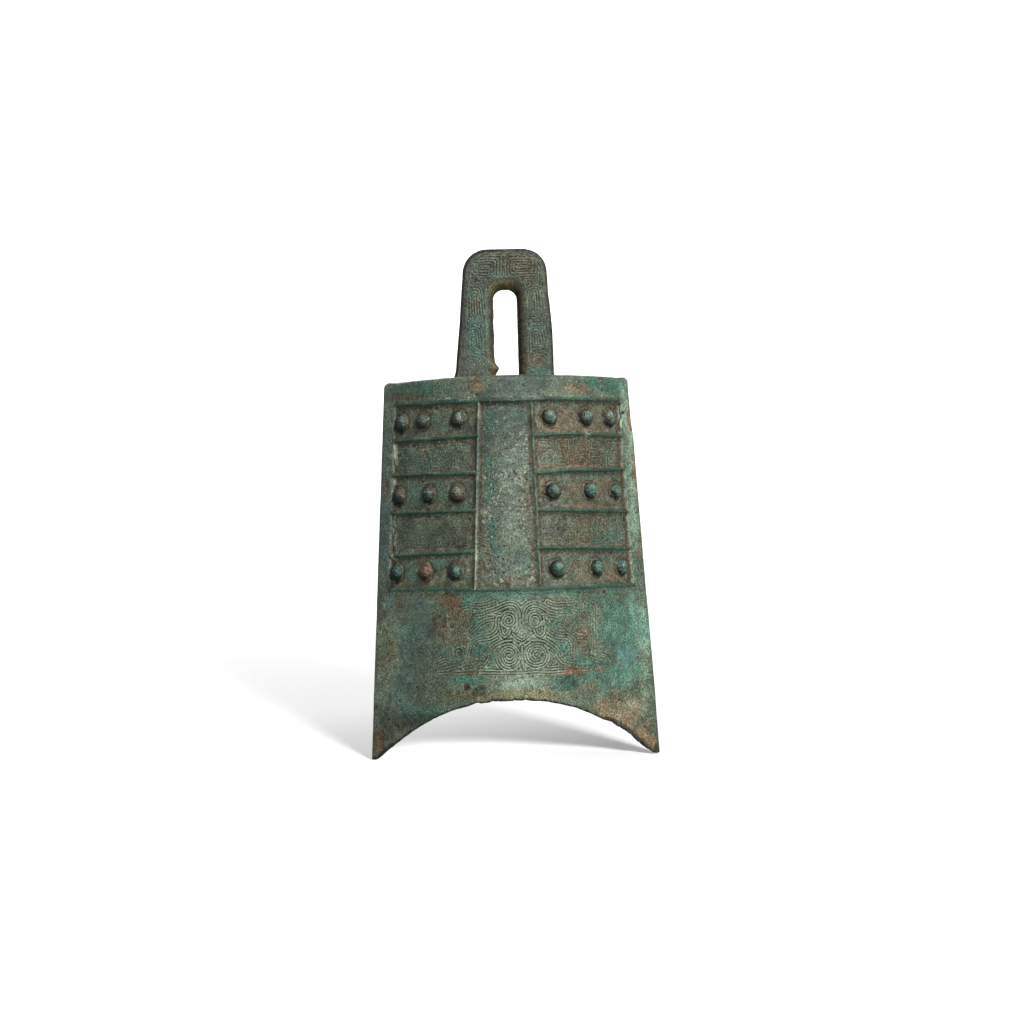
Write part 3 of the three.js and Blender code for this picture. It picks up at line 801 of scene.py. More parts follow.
def level_rib_height(k, x):
    """Height of the k-th level rib's crest at x: straight but for the hand's small waver."""
    spots = at(x, 50.0 * k, 0.0)
    bend = np.interp(x, BEND_PLACES, RIB_BENDS[k])
    return RIB_LEVELS[k] + bend + 0.28 * grain(spots, 9.0, 21) + 0.12 * grain(spots, 3.0, 22)


class Carving:
    """What is carved and worn at places of a face: heights over the smooth wall, and the masks of the patina
    and of its painted shade and highlight.
    """

    def __init__(self, face, points):
        self.face, self.front, self.points = face, face == "front", points
        self.x, self.z = points[:, 0], points[:, 2]
        self.lumpy, self.fine = layered(points, 7.0, 3, 2), layered(points, 1.7, 3, 3)
        self.side_gap = border(self.z) - np.abs(self.x)
        self.marks = dict(zip(("foot", "crest", "shade", "line", "gap_shadow"), np.zeros((5, len(points)))))
        self.carve_frame()
        self.carve_seats()
        self.engrave()
        self.wear_down()
        self.gouge = self.damage() if self.front else np.zeros_like(self.x)
        self.masks = self.patina()

    def carve_frame(self):
        """The sunk field between the level ribs and the two uprights."""
        x, z, marks = self.x, self.z, self.marks
        last = len(RIB_LEVELS) - 1
        above_low, below_top = z - level_rib_height(last, x), level_rib_height(0, x) - z
        side_edge = self.side_gap + 0.35 * grain(self.points, 5.0, 4)
        self.field = ease(side_edge, -0.25, 0.75) * ease(above_low, 0.0, 0.5) * ease(below_top, 0.0, 0.5)
        self.inside = ease(above_low, -0.6, 0.2) * ease(below_top, -0.6, 0.2)
        marks["level"] = -FIELD_SINK * self.field

        left_rib, right_rib = upright(UPRIGHT_LEFT, z), upright(UPRIGHT_RIGHT, z)
        outside_panel = (x < left_rib) | (x > right_rib)
        glint = ease(layered(at(x, 70.0, 0.15 * z), 7.0, 3, 24), -0.25, 0.35)
        wear = 0.92 - 0.25 * np.clip(self.lumpy + 0.4 * self.fine, -1, 1)
        for k in range(last + 1):
            rise = z - level_rib_height(k, x)
            above, below = np.maximum(rise, 0.0), np.maximum(-rise, 0.0)
            shape = np.exp(-((above / 0.8) ** 1.5)) * np.exp(-((below / 1.2) ** 1.7))
            there = ease(self.side_gap, -1.0, 0.1)
            if 0 < k < last:
                there = there * outside_panel
            if k == 1 and self.front:
                there = there * (1.0 - 0.8 * bump(x, WORN_SPOT, 1.6))
            cover(marks, "level", -FIELD_SINK + RIB_HEIGHT * shape * there * wear)
            cover(marks, "crest", 0.8 * there * bump(rise, 0.8, 0.25) * glint)
            cover(marks, "shade", there * np.exp(-np.abs(rise / 1.25) ** 3.0) * (1.0 if k < last else 1.3))
            cover(marks, "line", there * bump(rise, 1.7, 0.8))
            cover(marks, "foot", there * (0.35 * bump(rise, 1.3, 0.7) + 0.6 * bump(rise, -2.0, 0.8)))

        glint = ease(layered(self.points, 4.0, 3, 25) + 0.5 * self.fine, -0.3, 0.4)
        wear = 0.92 - 0.2 * np.clip(self.lumpy, -1, 1)
        for off in (x - left_rib, x - right_rib):
            aside = np.abs(off + 0.15 * grain(self.points, 6.0, 23))
            shape = np.exp(-((aside / 0.72) ** 1.6)) * self.inside
            cover(marks, "level", -FIELD_SINK + UPRIGHT_HEIGHT * shape * wear)
            cover(marks, "crest", 1.3 * bump(off, 0.35, 0.28) * self.inside * glint)
            dim = 0.8 * bump(off, -0.3, 1.0) * self.inside
            cover(marks, "shade", dim * (1.0 - 0.6 * bump(off, 0.35, 0.4)))
            cover(marks, "foot", 0.8 * bump(aside, 1.6, 0.6) * self.inside)
        cover(marks, "foot", self.field * bump(side_edge, 1.2, 0.9))
        under = ease(UNDERCUT_HALF - np.abs(x), 0.0, 8.0)
        marks["level"] -= UNDERCUT_DEPTH * bump(z, UNDERCUT_HEIGHT, 2.0) * under
        self.panel = ease(x - left_rib, 1.0, 2.4) * ease(right_rib - x, 1.0, 2.4) * self.inside

    def carve_seats(self):
        """Low mounds that the bosses stand on, earth round them, and gaps beside the front's left ones,
        which are darkened as painted shadows.
        """
        for seat in SEATS:
            if seat["face"] != self.face:
                continue
            centre, outward = seat["floor"], seat["outward"]
            near = np.abs(self.x - centre[0]) + np.abs(self.z - centre[2]) < SEAT_REACH
            apart = self.points[near] - centre
            away = np.linalg.norm(apart - (apart @ outward)[:, None] * outward, axis=1)
            marks = {key: self.marks[key][near] for key in ("level", "foot", "gap_shadow")}
            marks["level"] += SEAT_RISE * (1.0 - ease(away, *SEAT_RIM)) - 0.2 * bump(away, SEAT_RIM[1], 0.7)
            broken = 0.65 + 0.6 * np.clip(self.lumpy[near], -1, 1)
            cover(marks, "foot", 1.1 * bump(away, 4.1, 1.2) * broken)
            if outermost(seat, "left"):
                # A sunk crescent beside the boss; its darkening further on is a painted shadow.
                gap_shadow = bump(away, 5.0, 1.0) * ease(-apart[:, 0] - 0.2 * apart[:, 2], 1.0, 3.4)
                marks["level"] -= GAP_DEPTH * gap_shadow
                cover(marks, "foot", 0.8 * gap_shadow)
                cover(marks, "gap_shadow", gap_shadow)
            for key, values in marks.items():
                self.marks[key][near] = values

    def engrave(self):
        """The scroll under the frame, and the fret in two of the frame's rows."""
        x, z, p, lumpy = self.x, self.z, self.points, self.lumpy
        zone = within(x, *SCROLL_ACROSS, 2.0, 3.0)
        zone = zone * ease(z - SCROLL_UP[0], 0.0, 1.0) * ease(SCROLL_UP[1] - z, 0.0, 2.0)
        worn = 0.55 + 0.45 * (1.0 - ease(np.abs(x - SCROLL_AXIS) + 7.0 * lumpy, 9.0, 24.0))
        worn = worn * (0.3 + 0.95 * ease(layered(p, 5.0, 3, 32), -0.4, 0.35))
        if self.front:
            worn = worn * (1.0 - 0.75 * ease(-x + 5.0 * lumpy, 19.0, 26.0) * ease(z, 53.0, 57.0))
        self.scroll_zone = zone = zone * SCROLL.near(x, z, 2.9 + 1.2 * lumpy)
        self.cut_scroll = cut = SCROLL.groove(x, z) * worn * zone
        fret_zone = sum(strength * within(z, low, high, 0.6, 0.6) for low, high, strength in FRET_ZONES)
        fret_zone = fret_zone * self.field * ease(np.abs(x + 1.5) - 15.5, 0.0, 1.5)
        fret_zone = fret_zone * ease(self.side_gap, 1.0, 2.4)
        worn_fret = np.clip(0.6 + layered(p, 6.0, 3, 31), 0.05, 1.1)
        cut_fret = FRETS.groove(x, z, 0.55) * worn_fret * fret_zone
        carved = self.marks["level"] - SCROLL_DEPTH * cut - FRET_DEPTH * cut_fret
        self.marks["level"] = carved + SCROLL_RISE * zone * worn + FRET_RISE * fret_zone
        self.between = unit(cut + 0.75 * cut_fret)
        self.threads = unit(0.8 * (zone * worn - cut) + 0.5 * (fret_zone * worn_fret - cut_fret))

    def wear_down(self):
        """Pits, crust and grit over all, and the extra width that the patina gives the side edges."""
        x, z, p, lumpy, panel = self.x, self.z, self.points, self.lumpy, self.panel
        shallow = pits(x, z, 1.35, 0.42, 0.55, 12) * ease(layered(p, 9.0, 2, 13) + 0.3 * panel, -0.5, 0.4)
        self.dense = pits(x, z, 1.05, 0.4, 0.6, 17) * panel * ease(layered(p, 8.0, 3, 18), -0.25, 0.3)
        scattered = pits(x, z, 2.3, 0.62, 0.42, 19) * panel * ease(layered(p, 11.0, 3, 20), -0.2, 0.25)
        self.scattered = 1.1 * scattered
        self.shallow = np.maximum(np.maximum(shallow, self.dense), self.scattered)
        self.deep = pits(x, z, 5.2, 0.75, 0.34, 14) * ease(lumpy, -0.4, 0.3)
        self.crust = ease(layered(p, 5.0, 4, 15), 0.08, 0.3)
        self.grit = layered(p, 0.95, 2, 16)
        height = 0.16 * layered(p, 26.0, 2, 1) + 0.10 * lumpy
        height = height + self.marks["level"] * ease(np.abs(p[:, 1]), 0.0, 1.6)
        right = x > 0
        flare = np.where(right, RIGHT_FLARE, LEFT_FLARE)
        flare = flare + (1.0 - ease(z, 4.0, 60.0)) * np.where(right, RIGHT_LIP_FLARE, 0.0)
        flare = flare + (0.45 * bump(z, 42.0, 30.0) - 0.6 * ease(z, 146.0, 160.0)) * right
        at_edge = ease(np.abs(x) / half_width(z), 0.9, 0.99)
        height = height + flare * at_edge * ease(BODY_HEIGHT - z, -1.0, 2.0)
        rough = CRUST_RISE * self.crust + LUMP_RISE * self.fine + GRIT_RISE * self.grit
        rough = rough - PIT_DEPTH * self.shallow - DEEP_PIT_DEPTH * self.deep
        self.height = height + (0.3 + 0.7 * ease(np.abs(p[:, 1]), 0.5, 4.0)) * rough

    def damage(self):
        """The front's two cracks, two holes and cast lump. Returns how gouged each place is."""
        x, z, p = self.x, self.z, self.points
        middle, low, high, depth = CRACK
        crack = bump(x, middle + 0.5 * grain(p, 3.0, 41), 0.24) * within(z, low, high, 2.0, 1.5)
        middle, low, high, side_depth = SIDE_CRACK
        side_crack = bump(x, middle + 0.6 * grain(p, 2.4, 42), 0.22) * within(z, low, high, 1.5, 1.5)
        holes = sum(bump(np.hypot(x - cx, z - cz), 0, radius) for cx, cz, radius in HOLES)
        middle, low, high, rise = CAST_LUMP
        lump = bump(x, middle, 0.7) * within(z, low, high, 1.5, 1.5)
        lump = np.maximum(lump, bump(np.hypot((x - middle) / 2.0, z - 62.0), 0, 0.9))
        cut = self.height - depth * crack - side_depth * side_crack - HOLE_DEPTH * holes
        self.height = cut + rise * lump
        round_lump = 0.8 * bump(np.hypot(np.abs(x - middle) - 2.0, (z - 63.6) / 1.8), 0, 1.0)
        gouges = np.maximum(np.maximum(crack, side_crack), np.minimum(holes, 1))
        return np.maximum(gouges, round_lump)

    def patina(self):
        """The masks: the listed patches, broken up, what gathers in the relief, and painted shade and
        highlight.
        """
        x, z, p, lumpy, marks, between = self.x, self.z, self.points, self.lumpy, self.marks, self.between
        ragged = layered(p, 8.0, 5, 51, 0.62)
        speckle = layered(p, 2.2, 3, 52, 0.7)
        sway = (layered(p, 13.0, 4, 55, 0.6), layered(p, 13.0, 4, 56, 0.6))
        masks = {key: patch_mask(rows, x, z, ragged, sway) for key, rows in PATCHES[self.face].items()}
        over_lip = z - lip_height(x)
        from_axis = np.abs(x - SCROLL_AXIS)
        in_middle = 1.0 - ease(from_axis + 5.0 * lumpy, 10.0, 18.0)
        foot = marks["foot"]
        if self.front:
            crusted = ease(x + 5.0 * ragged, 33.0, 41.0) * (1.0 - ease(over_lip + 7.0 * ragged, 5.5, 12.0))
            for key, strength in LIP_CRUST.items():
                cover(masks, key, strength * crusted)
            # A thin dark line down the left ridge from about 40 mm up: painted shade on the edge turned away
            # from the light.
            cover(masks, "dark", 0.8 * ease(-x / half_width(z), 0.983, 0.999) * ease(z, 36.0, 50.0))

        masks["earth"] *= 0.55 + 0.75 * ease(speckle + 0.5 * lumpy, -0.45, 0.5)
        cover(masks, "earth", 0.75 * unit(foot) * ease(speckle + 0.6 * lumpy, -0.7, 0.3))
        cover(masks, "earth", 0.45 * between * ease(lumpy + 0.3 * speckle, -0.35, 0.45))
        cover(masks, "earth", 0.5 * ease(layered(p, 12.0, 4, 53), 0.22, 0.5))
        sunny = 0.35 + 0.65 * ease(x, 0.0, 20.0) if self.front else 0.6
        cover(masks, "tan", 0.8 * sunny * marks["line"] * ease(speckle + 0.7 * lumpy, -0.6, 0.4))
        masks["rust"] *= ease(speckle, -0.5, 0.3)
        cover(masks, "rust", 0.5 * ease(layered(p, 4.5, 3, 54), 0.46, 0.64))
        masks["pale"] *= 0.7 + 0.5 * speckle
        masks["cream_and_highlight"] *= ease(speckle + 0.5 * self.fine, -0.5, 0.2)
        glints = ease(self.grit + 0.5 * layered(p, 12.0, 3, 57), 0.36, 0.6) * self.panel
        cover(masks, "cream_and_highlight", 0.8 * glints)

        # A dark band along the lip: painted shade where its rounded edge turns down from the light, and dark
        # chipped patina; it widens near x 54 and x -62.
        lip_band_width = 1.0 + 1.6 * bump(x, 54.0, 12.0) + 1.0 * bump(x, -62.0, 6.0)
        lip_shade_and_chips = 1.0 - ease(over_lip + 0.9 * speckle, 0.5 * lip_band_width, 1.7 * lip_band_width)
        # The sunk crescents beside the outer left bosses are darkened hard as painted shadows.
        cover(masks, "dark", lip_shade_and_chips, 0.9 * self.deep, unit(self.gouge), 1.7 * marks["gap_shadow"])
        cover(masks, "dark", self.scattered, 0.5 * self.dense, 0.8 * self.cut_scroll * in_middle)

        beside = between * ease(from_axis, 9.0, 15.0)
        beside = 0.9 * beside * ease(lumpy - 0.4 * speckle, -0.3, 0.2) * self.scroll_zone
        masks["shade"] = unit(np.maximum(beside, marks["shade"] * (0.9 + 0.4 * lumpy)))
        low = np.clip(foot, 0, 1.4) * 0.6 + 0.7 * between + 0.6 * self.shallow + 0.12 * self.field
        masks["grime_and_shade"] = unit(low - 0.5 * marks["crest"])
        masks["crest"] = unit(marks["crest"] + (0.6 + 0.3 * in_middle) * self.threads + 0.15 * self.crust)
        return masks


# Making meshes

def pattern_mesh(name, points, quads, rings=()):
    """A mesh of quads and larger end faces."""
    corners = np.concatenate([quads.ravel(), *[np.asarray(ring) for ring in rings]]).astype(np.int32)
    sizes = np.concatenate([np.full(len(quads), 4), [len(ring) for ring in rings]]).astype(np.int32)
    mesh = bpy.data.meshes.new(name)
    mesh.vertices.add(len(points))
    mesh.vertices.foreach_set("co", np.asarray(points, np.float32).ravel())
    mesh.loops.add(len(corners))
    mesh.loops.foreach_set("vertex_index", corners)
    mesh.polygons.add(len(sizes))
    starts = np.concatenate([[0], np.cumsum(sizes)[:-1]]).astype(np.int32)
    mesh.polygons.foreach_set("loop_start", starts)
    mesh.update(calc_edges=True)
    return mesh


def add_values(mesh, key, values):
    layer = mesh.attributes.new(key, "FLOAT", "POINT")
    layer.data.foreach_set("value", np.asarray(values, np.float32).ravel())


def read(items, key, width, kind=np.int32):
    """A property of all of a mesh's items, as rows of so many numbers."""
    values = np.empty(len(items) * width, kind)
    items.foreach_get(key, values)
    return values.reshape(-1, width)


def points_of(mesh):
    return read(mesh.vertices, "co", 3, np.float32).astype(float)


def complete_mesh(mesh, points, masks, sharp=None):
    """Puts a mesh's points, given in mm, in place in metres, turns it outwards and adds the masks."""
    mesh.vertices.foreach_set("co", (points * MM).astype(np.float32).ravel())
    mesh.update()
    mesh.calc_loop_triangles()
    a, b, c = np.moveaxis(points[read(mesh.loop_triangles, "vertices", 3)], 1, 0)
    if np.einsum("ij,ij->i", a, np.cross(b, c)).sum() < 0:
        mesh.flip_normals()
    mesh.polygons.foreach_set("use_smooth", np.ones(len(mesh.polygons), bool))
    if sharp is not None:
        flags = mesh.attributes.new("sharp_edge", "BOOLEAN", "EDGE")
        flags.data.foreach_set("value", sharp(read(mesh.edges, "vertices", 2)))
    for key in MASKS:
        add_values(mesh, key, masks.get(key, np.zeros(len(points))))
    mesh.validate()
    mesh.update()
    return mesh


def add_piece(name, mesh, finish, slot, *nodes):
    """The finished piece, riding on the bell's one body."""
    mesh.name = name
    piece = bpy.data.objects.new(name, mesh)
    bpy.context.scene.collection.objects.link(piece)
    if not mesh.materials:
        mesh.materials.append(finish)
    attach(piece, "root")
    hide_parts(*nodes)


def tube_quads(columns, ring):
    """Quads between neighbouring closed rings of points."""
    j, i = np.meshgrid(np.arange(columns - 1), np.arange(ring), indexing="ij")
    k = (i + 1) % ring
    return np.stack([j * ring + i, (j + 1) * ring + i, (j + 1) * ring + k, j * ring + k], -1).reshape(-1, 4)


def grid_normals(points):
    """Unit normals of a grid of points, whichever way it turns."""
    n = np.cross(np.gradient(points, axis=0), np.gradient(points, axis=1))
    return n / (np.linalg.norm(n, axis=2)[..., None] + 1e-12)


def spread(ends, z, spacing):
    """Values from 0 to 1 that are evenly spaced along the wall between two places x at height z."""
    steps = np.linspace(0.0, 1.0, 2000)
    x = lerp(ends[0], ends[1], steps)
    y = half_depth(z) * (1.0 - (x / half_width(z)) ** 2)
    run = np.concatenate([[0.0], np.cumsum(np.hypot(np.diff(x), np.diff(y)))])
    count = int(run[-1] / spacing) + 1
    return np.interp(np.linspace(0.0, run[-1], count + 1), run, steps)


# The lip's rounded edge from the outside in: how far into the wall, and how far below its walls
LIP_PROFILE = (
    (0.12, -0.45), (0.45, -0.8), (1.0, -0.98), (1.9, -1.02), (2.8, -1.0), (3.4, -0.82), (3.85, -0.45),
)
LIP_ROUND = 1.0


def blurred(sheet, steps):
    """Each value averaged with its neighbours, up to so many steps away."""
    for axis in (0, 1):
        pad = [(steps + 1, steps) if k == axis else (0, 0) for k in (0, 1)]
        total = np.cumsum(np.pad(sheet, pad, mode="edge"), axis=axis)
        ahead = np.take(total, np.arange(2 * steps + 1, total.shape[axis]), axis=axis)
        behind = np.take(total, np.arange(0, total.shape[axis] - 2 * steps - 1), axis=axis)
        sheet = (ahead - behind) / (2 * steps + 1)
    return sheet


def raise_relief(face, points, outward):
    """Moves a sheet of points out by the face's relief, and returns it with the masks."""
    flat = points.reshape(-1, 3)
    carving = Carving(face, flat)
    shape = points.shape[:2]
    height = carving.height.reshape(shape)
    moved = points + outward * height[..., None]
    masks = {key: value.reshape(shape) for key, value in carving.masks.items()}
    across = np.linalg.norm(points[1:, shape[1] // 2] - points[:-1, shape[1] // 2], axis=1).mean()
    near, wide = max(int(0.8 / across), 1), max(int(3.0 / across), 2)
    # Places lying below their blurred surroundings get painted shade on top of their earth, and places
    # standing above them a paler colour, partly wear and partly painted highlight.
    dip = 2.2 * (blurred(height, near) - height) + 0.9 * (blurred(blurred(height, wide), wide) - height)
    masks["grime_and_shade"] = unit(0.55 * masks["grime_and_shade"] + np.clip(dip, 0, 0.9))
    stand = np.clip(-0.9 * dip, 0, 0.7) * (1.0 - 0.95 * masks["shade"])
    masks["crest"] = unit(0.6 * masks["crest"] + stand)
    return moved, masks


def outward_of(face, points):
    """Outward directions of a sheet on a face, level at the ridges so both faces agree there."""
    n = grid_normals(points)
    middle = n[n.shape[0] // 2, n.shape[1] // 2]
    if middle[1] * FACE_SIGN[face] < 0:
        n = -n
    at_ridge = np.abs(points[..., 1]) < 0.02
    n[..., 1] = np.where(at_ridge, 0.0, n[..., 1])
    return n / np.linalg.norm(n, axis=2)[..., None]


def rough_inside(sheet):
    """The core's rough inside of the wall."""
    rough = 0.25 * layered(sheet, 14.0, 2, 61) + 0.12 * layered(sheet, 3.5, 3, 62)
    moved = sheet.copy()
    moved[..., 1] -= np.sign(sheet[..., 1]) * rough
    return moved


def inside_masks(sheet):
    lumpy = layered(sheet, 9.0, 4, 63)
    return {
        "grime_and_shade": 0.55,
        "earth": unit(0.45 + 0.4 * lumpy),
        "dark": unit(0.45 * ease(lumpy, -0.3, 0.5)),
        "teal": unit(0.5 * ease(layered(sheet, 16.0, 3, 64), 0.0, 0.5)),
    }


def join_sheets(parts):
    """Sheets of points with their masks, stacked row under row into one ring of rows."""
    points = np.concatenate([sheet for sheet, masks in parts], axis=1)
    joined = {}
    for key in MASKS:
        rows = [np.broadcast_to(masks.get(key, 0.0), sheet.shape[:2]) for sheet, masks in parts]
        joined[key] = np.concatenate(rows, axis=1).ravel()
    return points, joined


def ring_pattern(name, points):
    """Columns of closed rings of points, capped at both ends."""
    columns, ring = points.shape[:2]
    caps = [np.arange(ring), np.arange(ring)[::-1] + (columns - 1) * ring]
    return pattern_mesh(name, points.reshape(-1, 3), tube_quads(columns, ring), caps)


def complete_ring(mesh, points, masks, hard_rows):
    columns, ring = points.shape[:2]

    def sharp(ends):
        column, row = ends // ring, ends % ring
        along = (column[:, 0] == column[:, 1]) & np.isin(column[:, 0], [0, columns - 1])
        across = (row[:, 0] == row[:, 1]) & np.isin(row[:, 0], hard_rows)
        return along | across

    return complete_mesh(mesh, points.reshape(-1, 3), masks, sharp)


def grow_wall(name, sheets, finish):
    """The plain wall that the almond rule makes of pattern sheets: share, inset, height and side."""
    pattern = np.concatenate([at(*sheet) for sheet in sheets], axis=1)
    flat = ring_pattern(name, pattern[..., :3])
    add_values(flat, "side", pattern[..., 3])
    mesh = WALL_RULE.grow(flat, finish, WALL_SIZES)
    mesh.attributes.remove(mesh.attributes["side"])
    return mesh, points_of(mesh).reshape(*pattern.shape[:2], 3)


def lower_wall(face, finish):
    """The wall under the frame, from the arched lip to the seam below the bottom rib."""
    side = FACE_SIGN[face]
    spacing, _, row_spacing = WALL_SPACING[face]
    rows, inner_rows = int(STRIKING_RUN / row_spacing), STRIKING_INNER_ROWS
    edge = half_width(STRIKING_MIDDLE)
    shares = lerp(-1.0, 1.0, spread((-edge, edge), STRIKING_MIDDLE, spacing))
    lip = np.full_like(shares, 10.0)
    inner_lip = lip.copy()
    # A point's x follows from its height and the lip's height from x, so both are found in rounds
    for _ in range(LIP_ROUNDS):
        lip = lip_height(reach(shares, lip))
        inner_lip = lip_height(reach(shares, inner_lip, WALL))
    outer_z = lerp((lip + LIP_ROUND)[:, None], SEAM_HEIGHT, np.linspace(0.0, 1.0, rows))
    inner_z = lerp((inner_lip + LIP_ROUND)[:, None], SEAM_HEIGHT, np.linspace(1.0, 0.0, inner_rows))
    insets = np.array([inset for inset, drop in LIP_PROFILE[::-1]])[None, :]
    edge_z = lerp(outer_z[:, :1], inner_z[:, -1:], insets / WALL)
    column = shares[:, None]
    sheets = [(column, 0.0, outer_z, side), (column, WALL, inner_z, side), (column, insets, edge_z, side)]
    mesh, plain = grow_wall(f"{face}_striking_wall", sheets, finish)

    outer, inner = plain[:, :rows], rough_inside(plain[:, rows:rows + inner_rows])
    outer, outer_masks = raise_relief(face, outer, outward_of(face, outer))
    edge_rows = []
    for inset, drop in LIP_PROFILE[::-1]:
        spot = lerp(outer[:, 0], inner[:, -1], inset / WALL)
        spot[:, 2] += drop * LIP_ROUND * 0.98
        spot[:, 2] += 0.14 * layered(spot, 1.8, 3, 65)
        edge_rows.append(spot)
    lip_edge = np.stack(edge_rows, axis=1)
    speck = layered(lip_edge, 2.4, 3, 66)
    edge_masks = {"dark": 0.55 + 0.5 * speck, "earth": 0.45 - 0.5 * speck, "crest": 0.1 + 0.4 * speck}
    edge_masks = {key: unit(value) for key, value in edge_masks.items()}
    points, masks = join_sheets([(outer, outer_masks), (inner, inside_masks(inner)), (lip_edge, edge_masks)])
    return complete_ring(mesh, points, masks, [rows - 1, rows])


def crown_lift(sheet):
    """The top's own small unevenness."""
    return 0.12 * layered(sheet, 16.0, 2, 71) + 0.06 * layered(sheet, 2.6, 3, 72)


def upper_wall(face, part, ends, finish):
    """A block of the framed wall between two lines that run up the face."""
    side = FACE_SIGN[face]
    _, spacing, row_spacing = WALL_SPACING[face]
    rows, inner_rows = int(FRAME_RUN / row_spacing), FRAME_INNER_ROWS
    u = spread([end(FRAME_MIDDLE) for end in ends], FRAME_MIDDLE, spacing)[:, None]
    top_start = BODY_HEIGHT - TOP_EDGE_RADIUS

    def share_at(z):
        return np.clip(lerp(ends[0](z), ends[1](z), u) / half_width(z), -1.0, 1.0)

    turns = np.linspace(0.0, math.pi / 2, 8)[1:]
    rounded_edge = top_start + TOP_EDGE_RADIUS * np.sin(turns)
    z = np.concatenate([np.linspace(SEAM_HEIGHT, top_start, rows), rounded_edge, [BODY_HEIGHT] * 2])[None, :]
    turned_in = TOP_EDGE_RADIUS * (1 - np.cos(turns))
    inset = np.concatenate([np.zeros(rows), turned_in, [2.7, CROWN_INSET]])[None, :]
    inner_z = np.concatenate([[CEILING], np.linspace(CEILING, SEAM_HEIGHT, inner_rows)])[None, :]
    inner_inset = np.concatenate([[CROWN_INSET], np.full(inner_rows, WALL)])[None, :]
    rounding = inset < TOP_EDGE_RADIUS + 0.01
    inset = inset * (1.0 - 0.65 * rounding * ease(np.abs(share_at(z)), 0.93, 0.985))
    sheets = [(share_at(z), inset, z, side), (share_at(inner_z), inner_inset, inner_z, side)]
    mesh, plain = grow_wall(f"{face}_{part}", sheets, finish)

    outer_rows = z.shape[1]
    outer, inner = plain[:, :outer_rows], rough_inside(plain[:, outer_rows:])
    normals = outward_of(face, outer)
    normals[:, -2:] = (0.0, 0.0, 1.0)
    flat_top = ease(inset, 1.2, 2.2)
    raised, masks = raise_relief(face, outer, normals * (1.0 - flat_top)[..., None])
    raised[..., 2] += crown_lift(outer) * flat_top
    points, masks = join_sheets([(raised, masks), (inner, inside_masks(inner))])
    return complete_ring(mesh, points, masks, [0, outer_rows - 1, outer_rows, points.shape[1] - 1])


def top_plate(finish):
    """The flat top inside the rounded edge, with the ceiling of the chamber under it."""
    shares = lerp(-0.999, 0.999, spread((-57.0, 57.0), BODY_HEIGHT, 0.5))[:, None]
    rows, under_rows = 96, 24
    forth, back = np.linspace(-1.0, 1.0, rows)[None, :], np.linspace(1.0, -1.0, under_rows)[None, :]
    sheets = [(shares, CROWN_INSET, BODY_HEIGHT, forth), (shares, CROWN_INSET, CEILING, back)]
    mesh, plain = grow_wall("top_plate", sheets, finish)
    top, under = plain[:, :rows], plain[:, rows:]
    top[..., 2] += crown_lift(top)
    under[..., 2] += 0.2 * layered(under, 12.0, 3, 75)
    lumpy, speck = layered(top, 9.0, 4, 73), layered(top, 2.0, 3, 74)
    x, y = np.abs(top[..., 0]), np.abs(top[..., 1])
    under_loop = ease(7.5 - y, -1.0, 0.6) * ease(25.0 - x, -1.0, 0.6)
    round_loop = (1.0 - ease(np.abs(y - 7.2), 0.0, 2.2)) * ease(26.0 - x, -1.0, 1.0)
    # Earthier and darker round the loop's feet.
    by_loop_feet = round_loop + under_loop * 0.4
    top_masks = {
        "earth": unit(0.25 + 0.5 * lumpy + 0.4 * speck + 0.5 * by_loop_feet),
        "teal": unit(0.4 - 0.7 * lumpy),
        "pale": unit(0.4 * speck),
        "dark": unit(0.5 * by_loop_feet * (0.5 + speck)),
        "grime_and_shade": unit(0.5 * by_loop_feet),
    }
    points, masks = join_sheets([(top, top_masks), (under, inside_masks(under))])
    return complete_ring(mesh, points, masks, [0, rows - 1, rows, points.shape[1] - 1])


# The hanging loop

LOOP_THREADS = Engraving(-27.0, 27.0, 177.0, 241.0, loop_strokes(), 4)


# Patches of the loop's patina, as those of the faces
LOOP_PATCHES = {
    "earth": [
        (10, 231, 10, 7, 1), (-3, 238, 16, 2, 0.6), (-7, 222, 3, 3, 0.8), (-14, 213, 3, 4, 0.4),
        (-20, 180, 6, 3, 0.9), (-9, 180, 6, 3, 0.7), (17, 200, 3, 20, 0.4), (14, 188, 8, 5, 0.6),
        (-3, 233, 6, 4, 0.5), (10, 206, 1.6, 12, 0.6),
    ],
    "teal": [
        (-13, 200, 7, 12, 0.9), (-13, 219, 6, 5, 0.7), (16, 203, 6, 3, 0.9), (16, 182, 7, 3, 0.8),
        (-3, 228, 5, 4, 0.6), (18, 195, 4, 6, 0.5),
    ],
    "rust": [(-13.5, 213, 1.4, 3.4, 0.9), (9, 229, 4, 3, 0.4), (-6, 183, 1.6, 4, 0.8)],
    # The long dark patch down the left leg's outer side is painted shade.
    "dark": [(-20, 210, 3, 30, 0.6), (-9, 231, 6, 4, 0.5)],
    "pale": [
        (-1, 228, 3, 2, 0.8), (-9, 200, 1.6, 14, 0.6), (14, 216, 6, 8, 0.35), (-10, 187, 5, 3, 0.5),
        (16, 180.6, 8, 1, 0.9),
    ],
    "blue": [(-11, 205, 4, 4, 0.3), (7, 222, 2, 5, 0.5)],
    "tan": [(9, 233, 9, 5, 0.6), (14, 186, 8, 4, 0.5), (-4, 238.5, 14, 1, 0.6)],
}


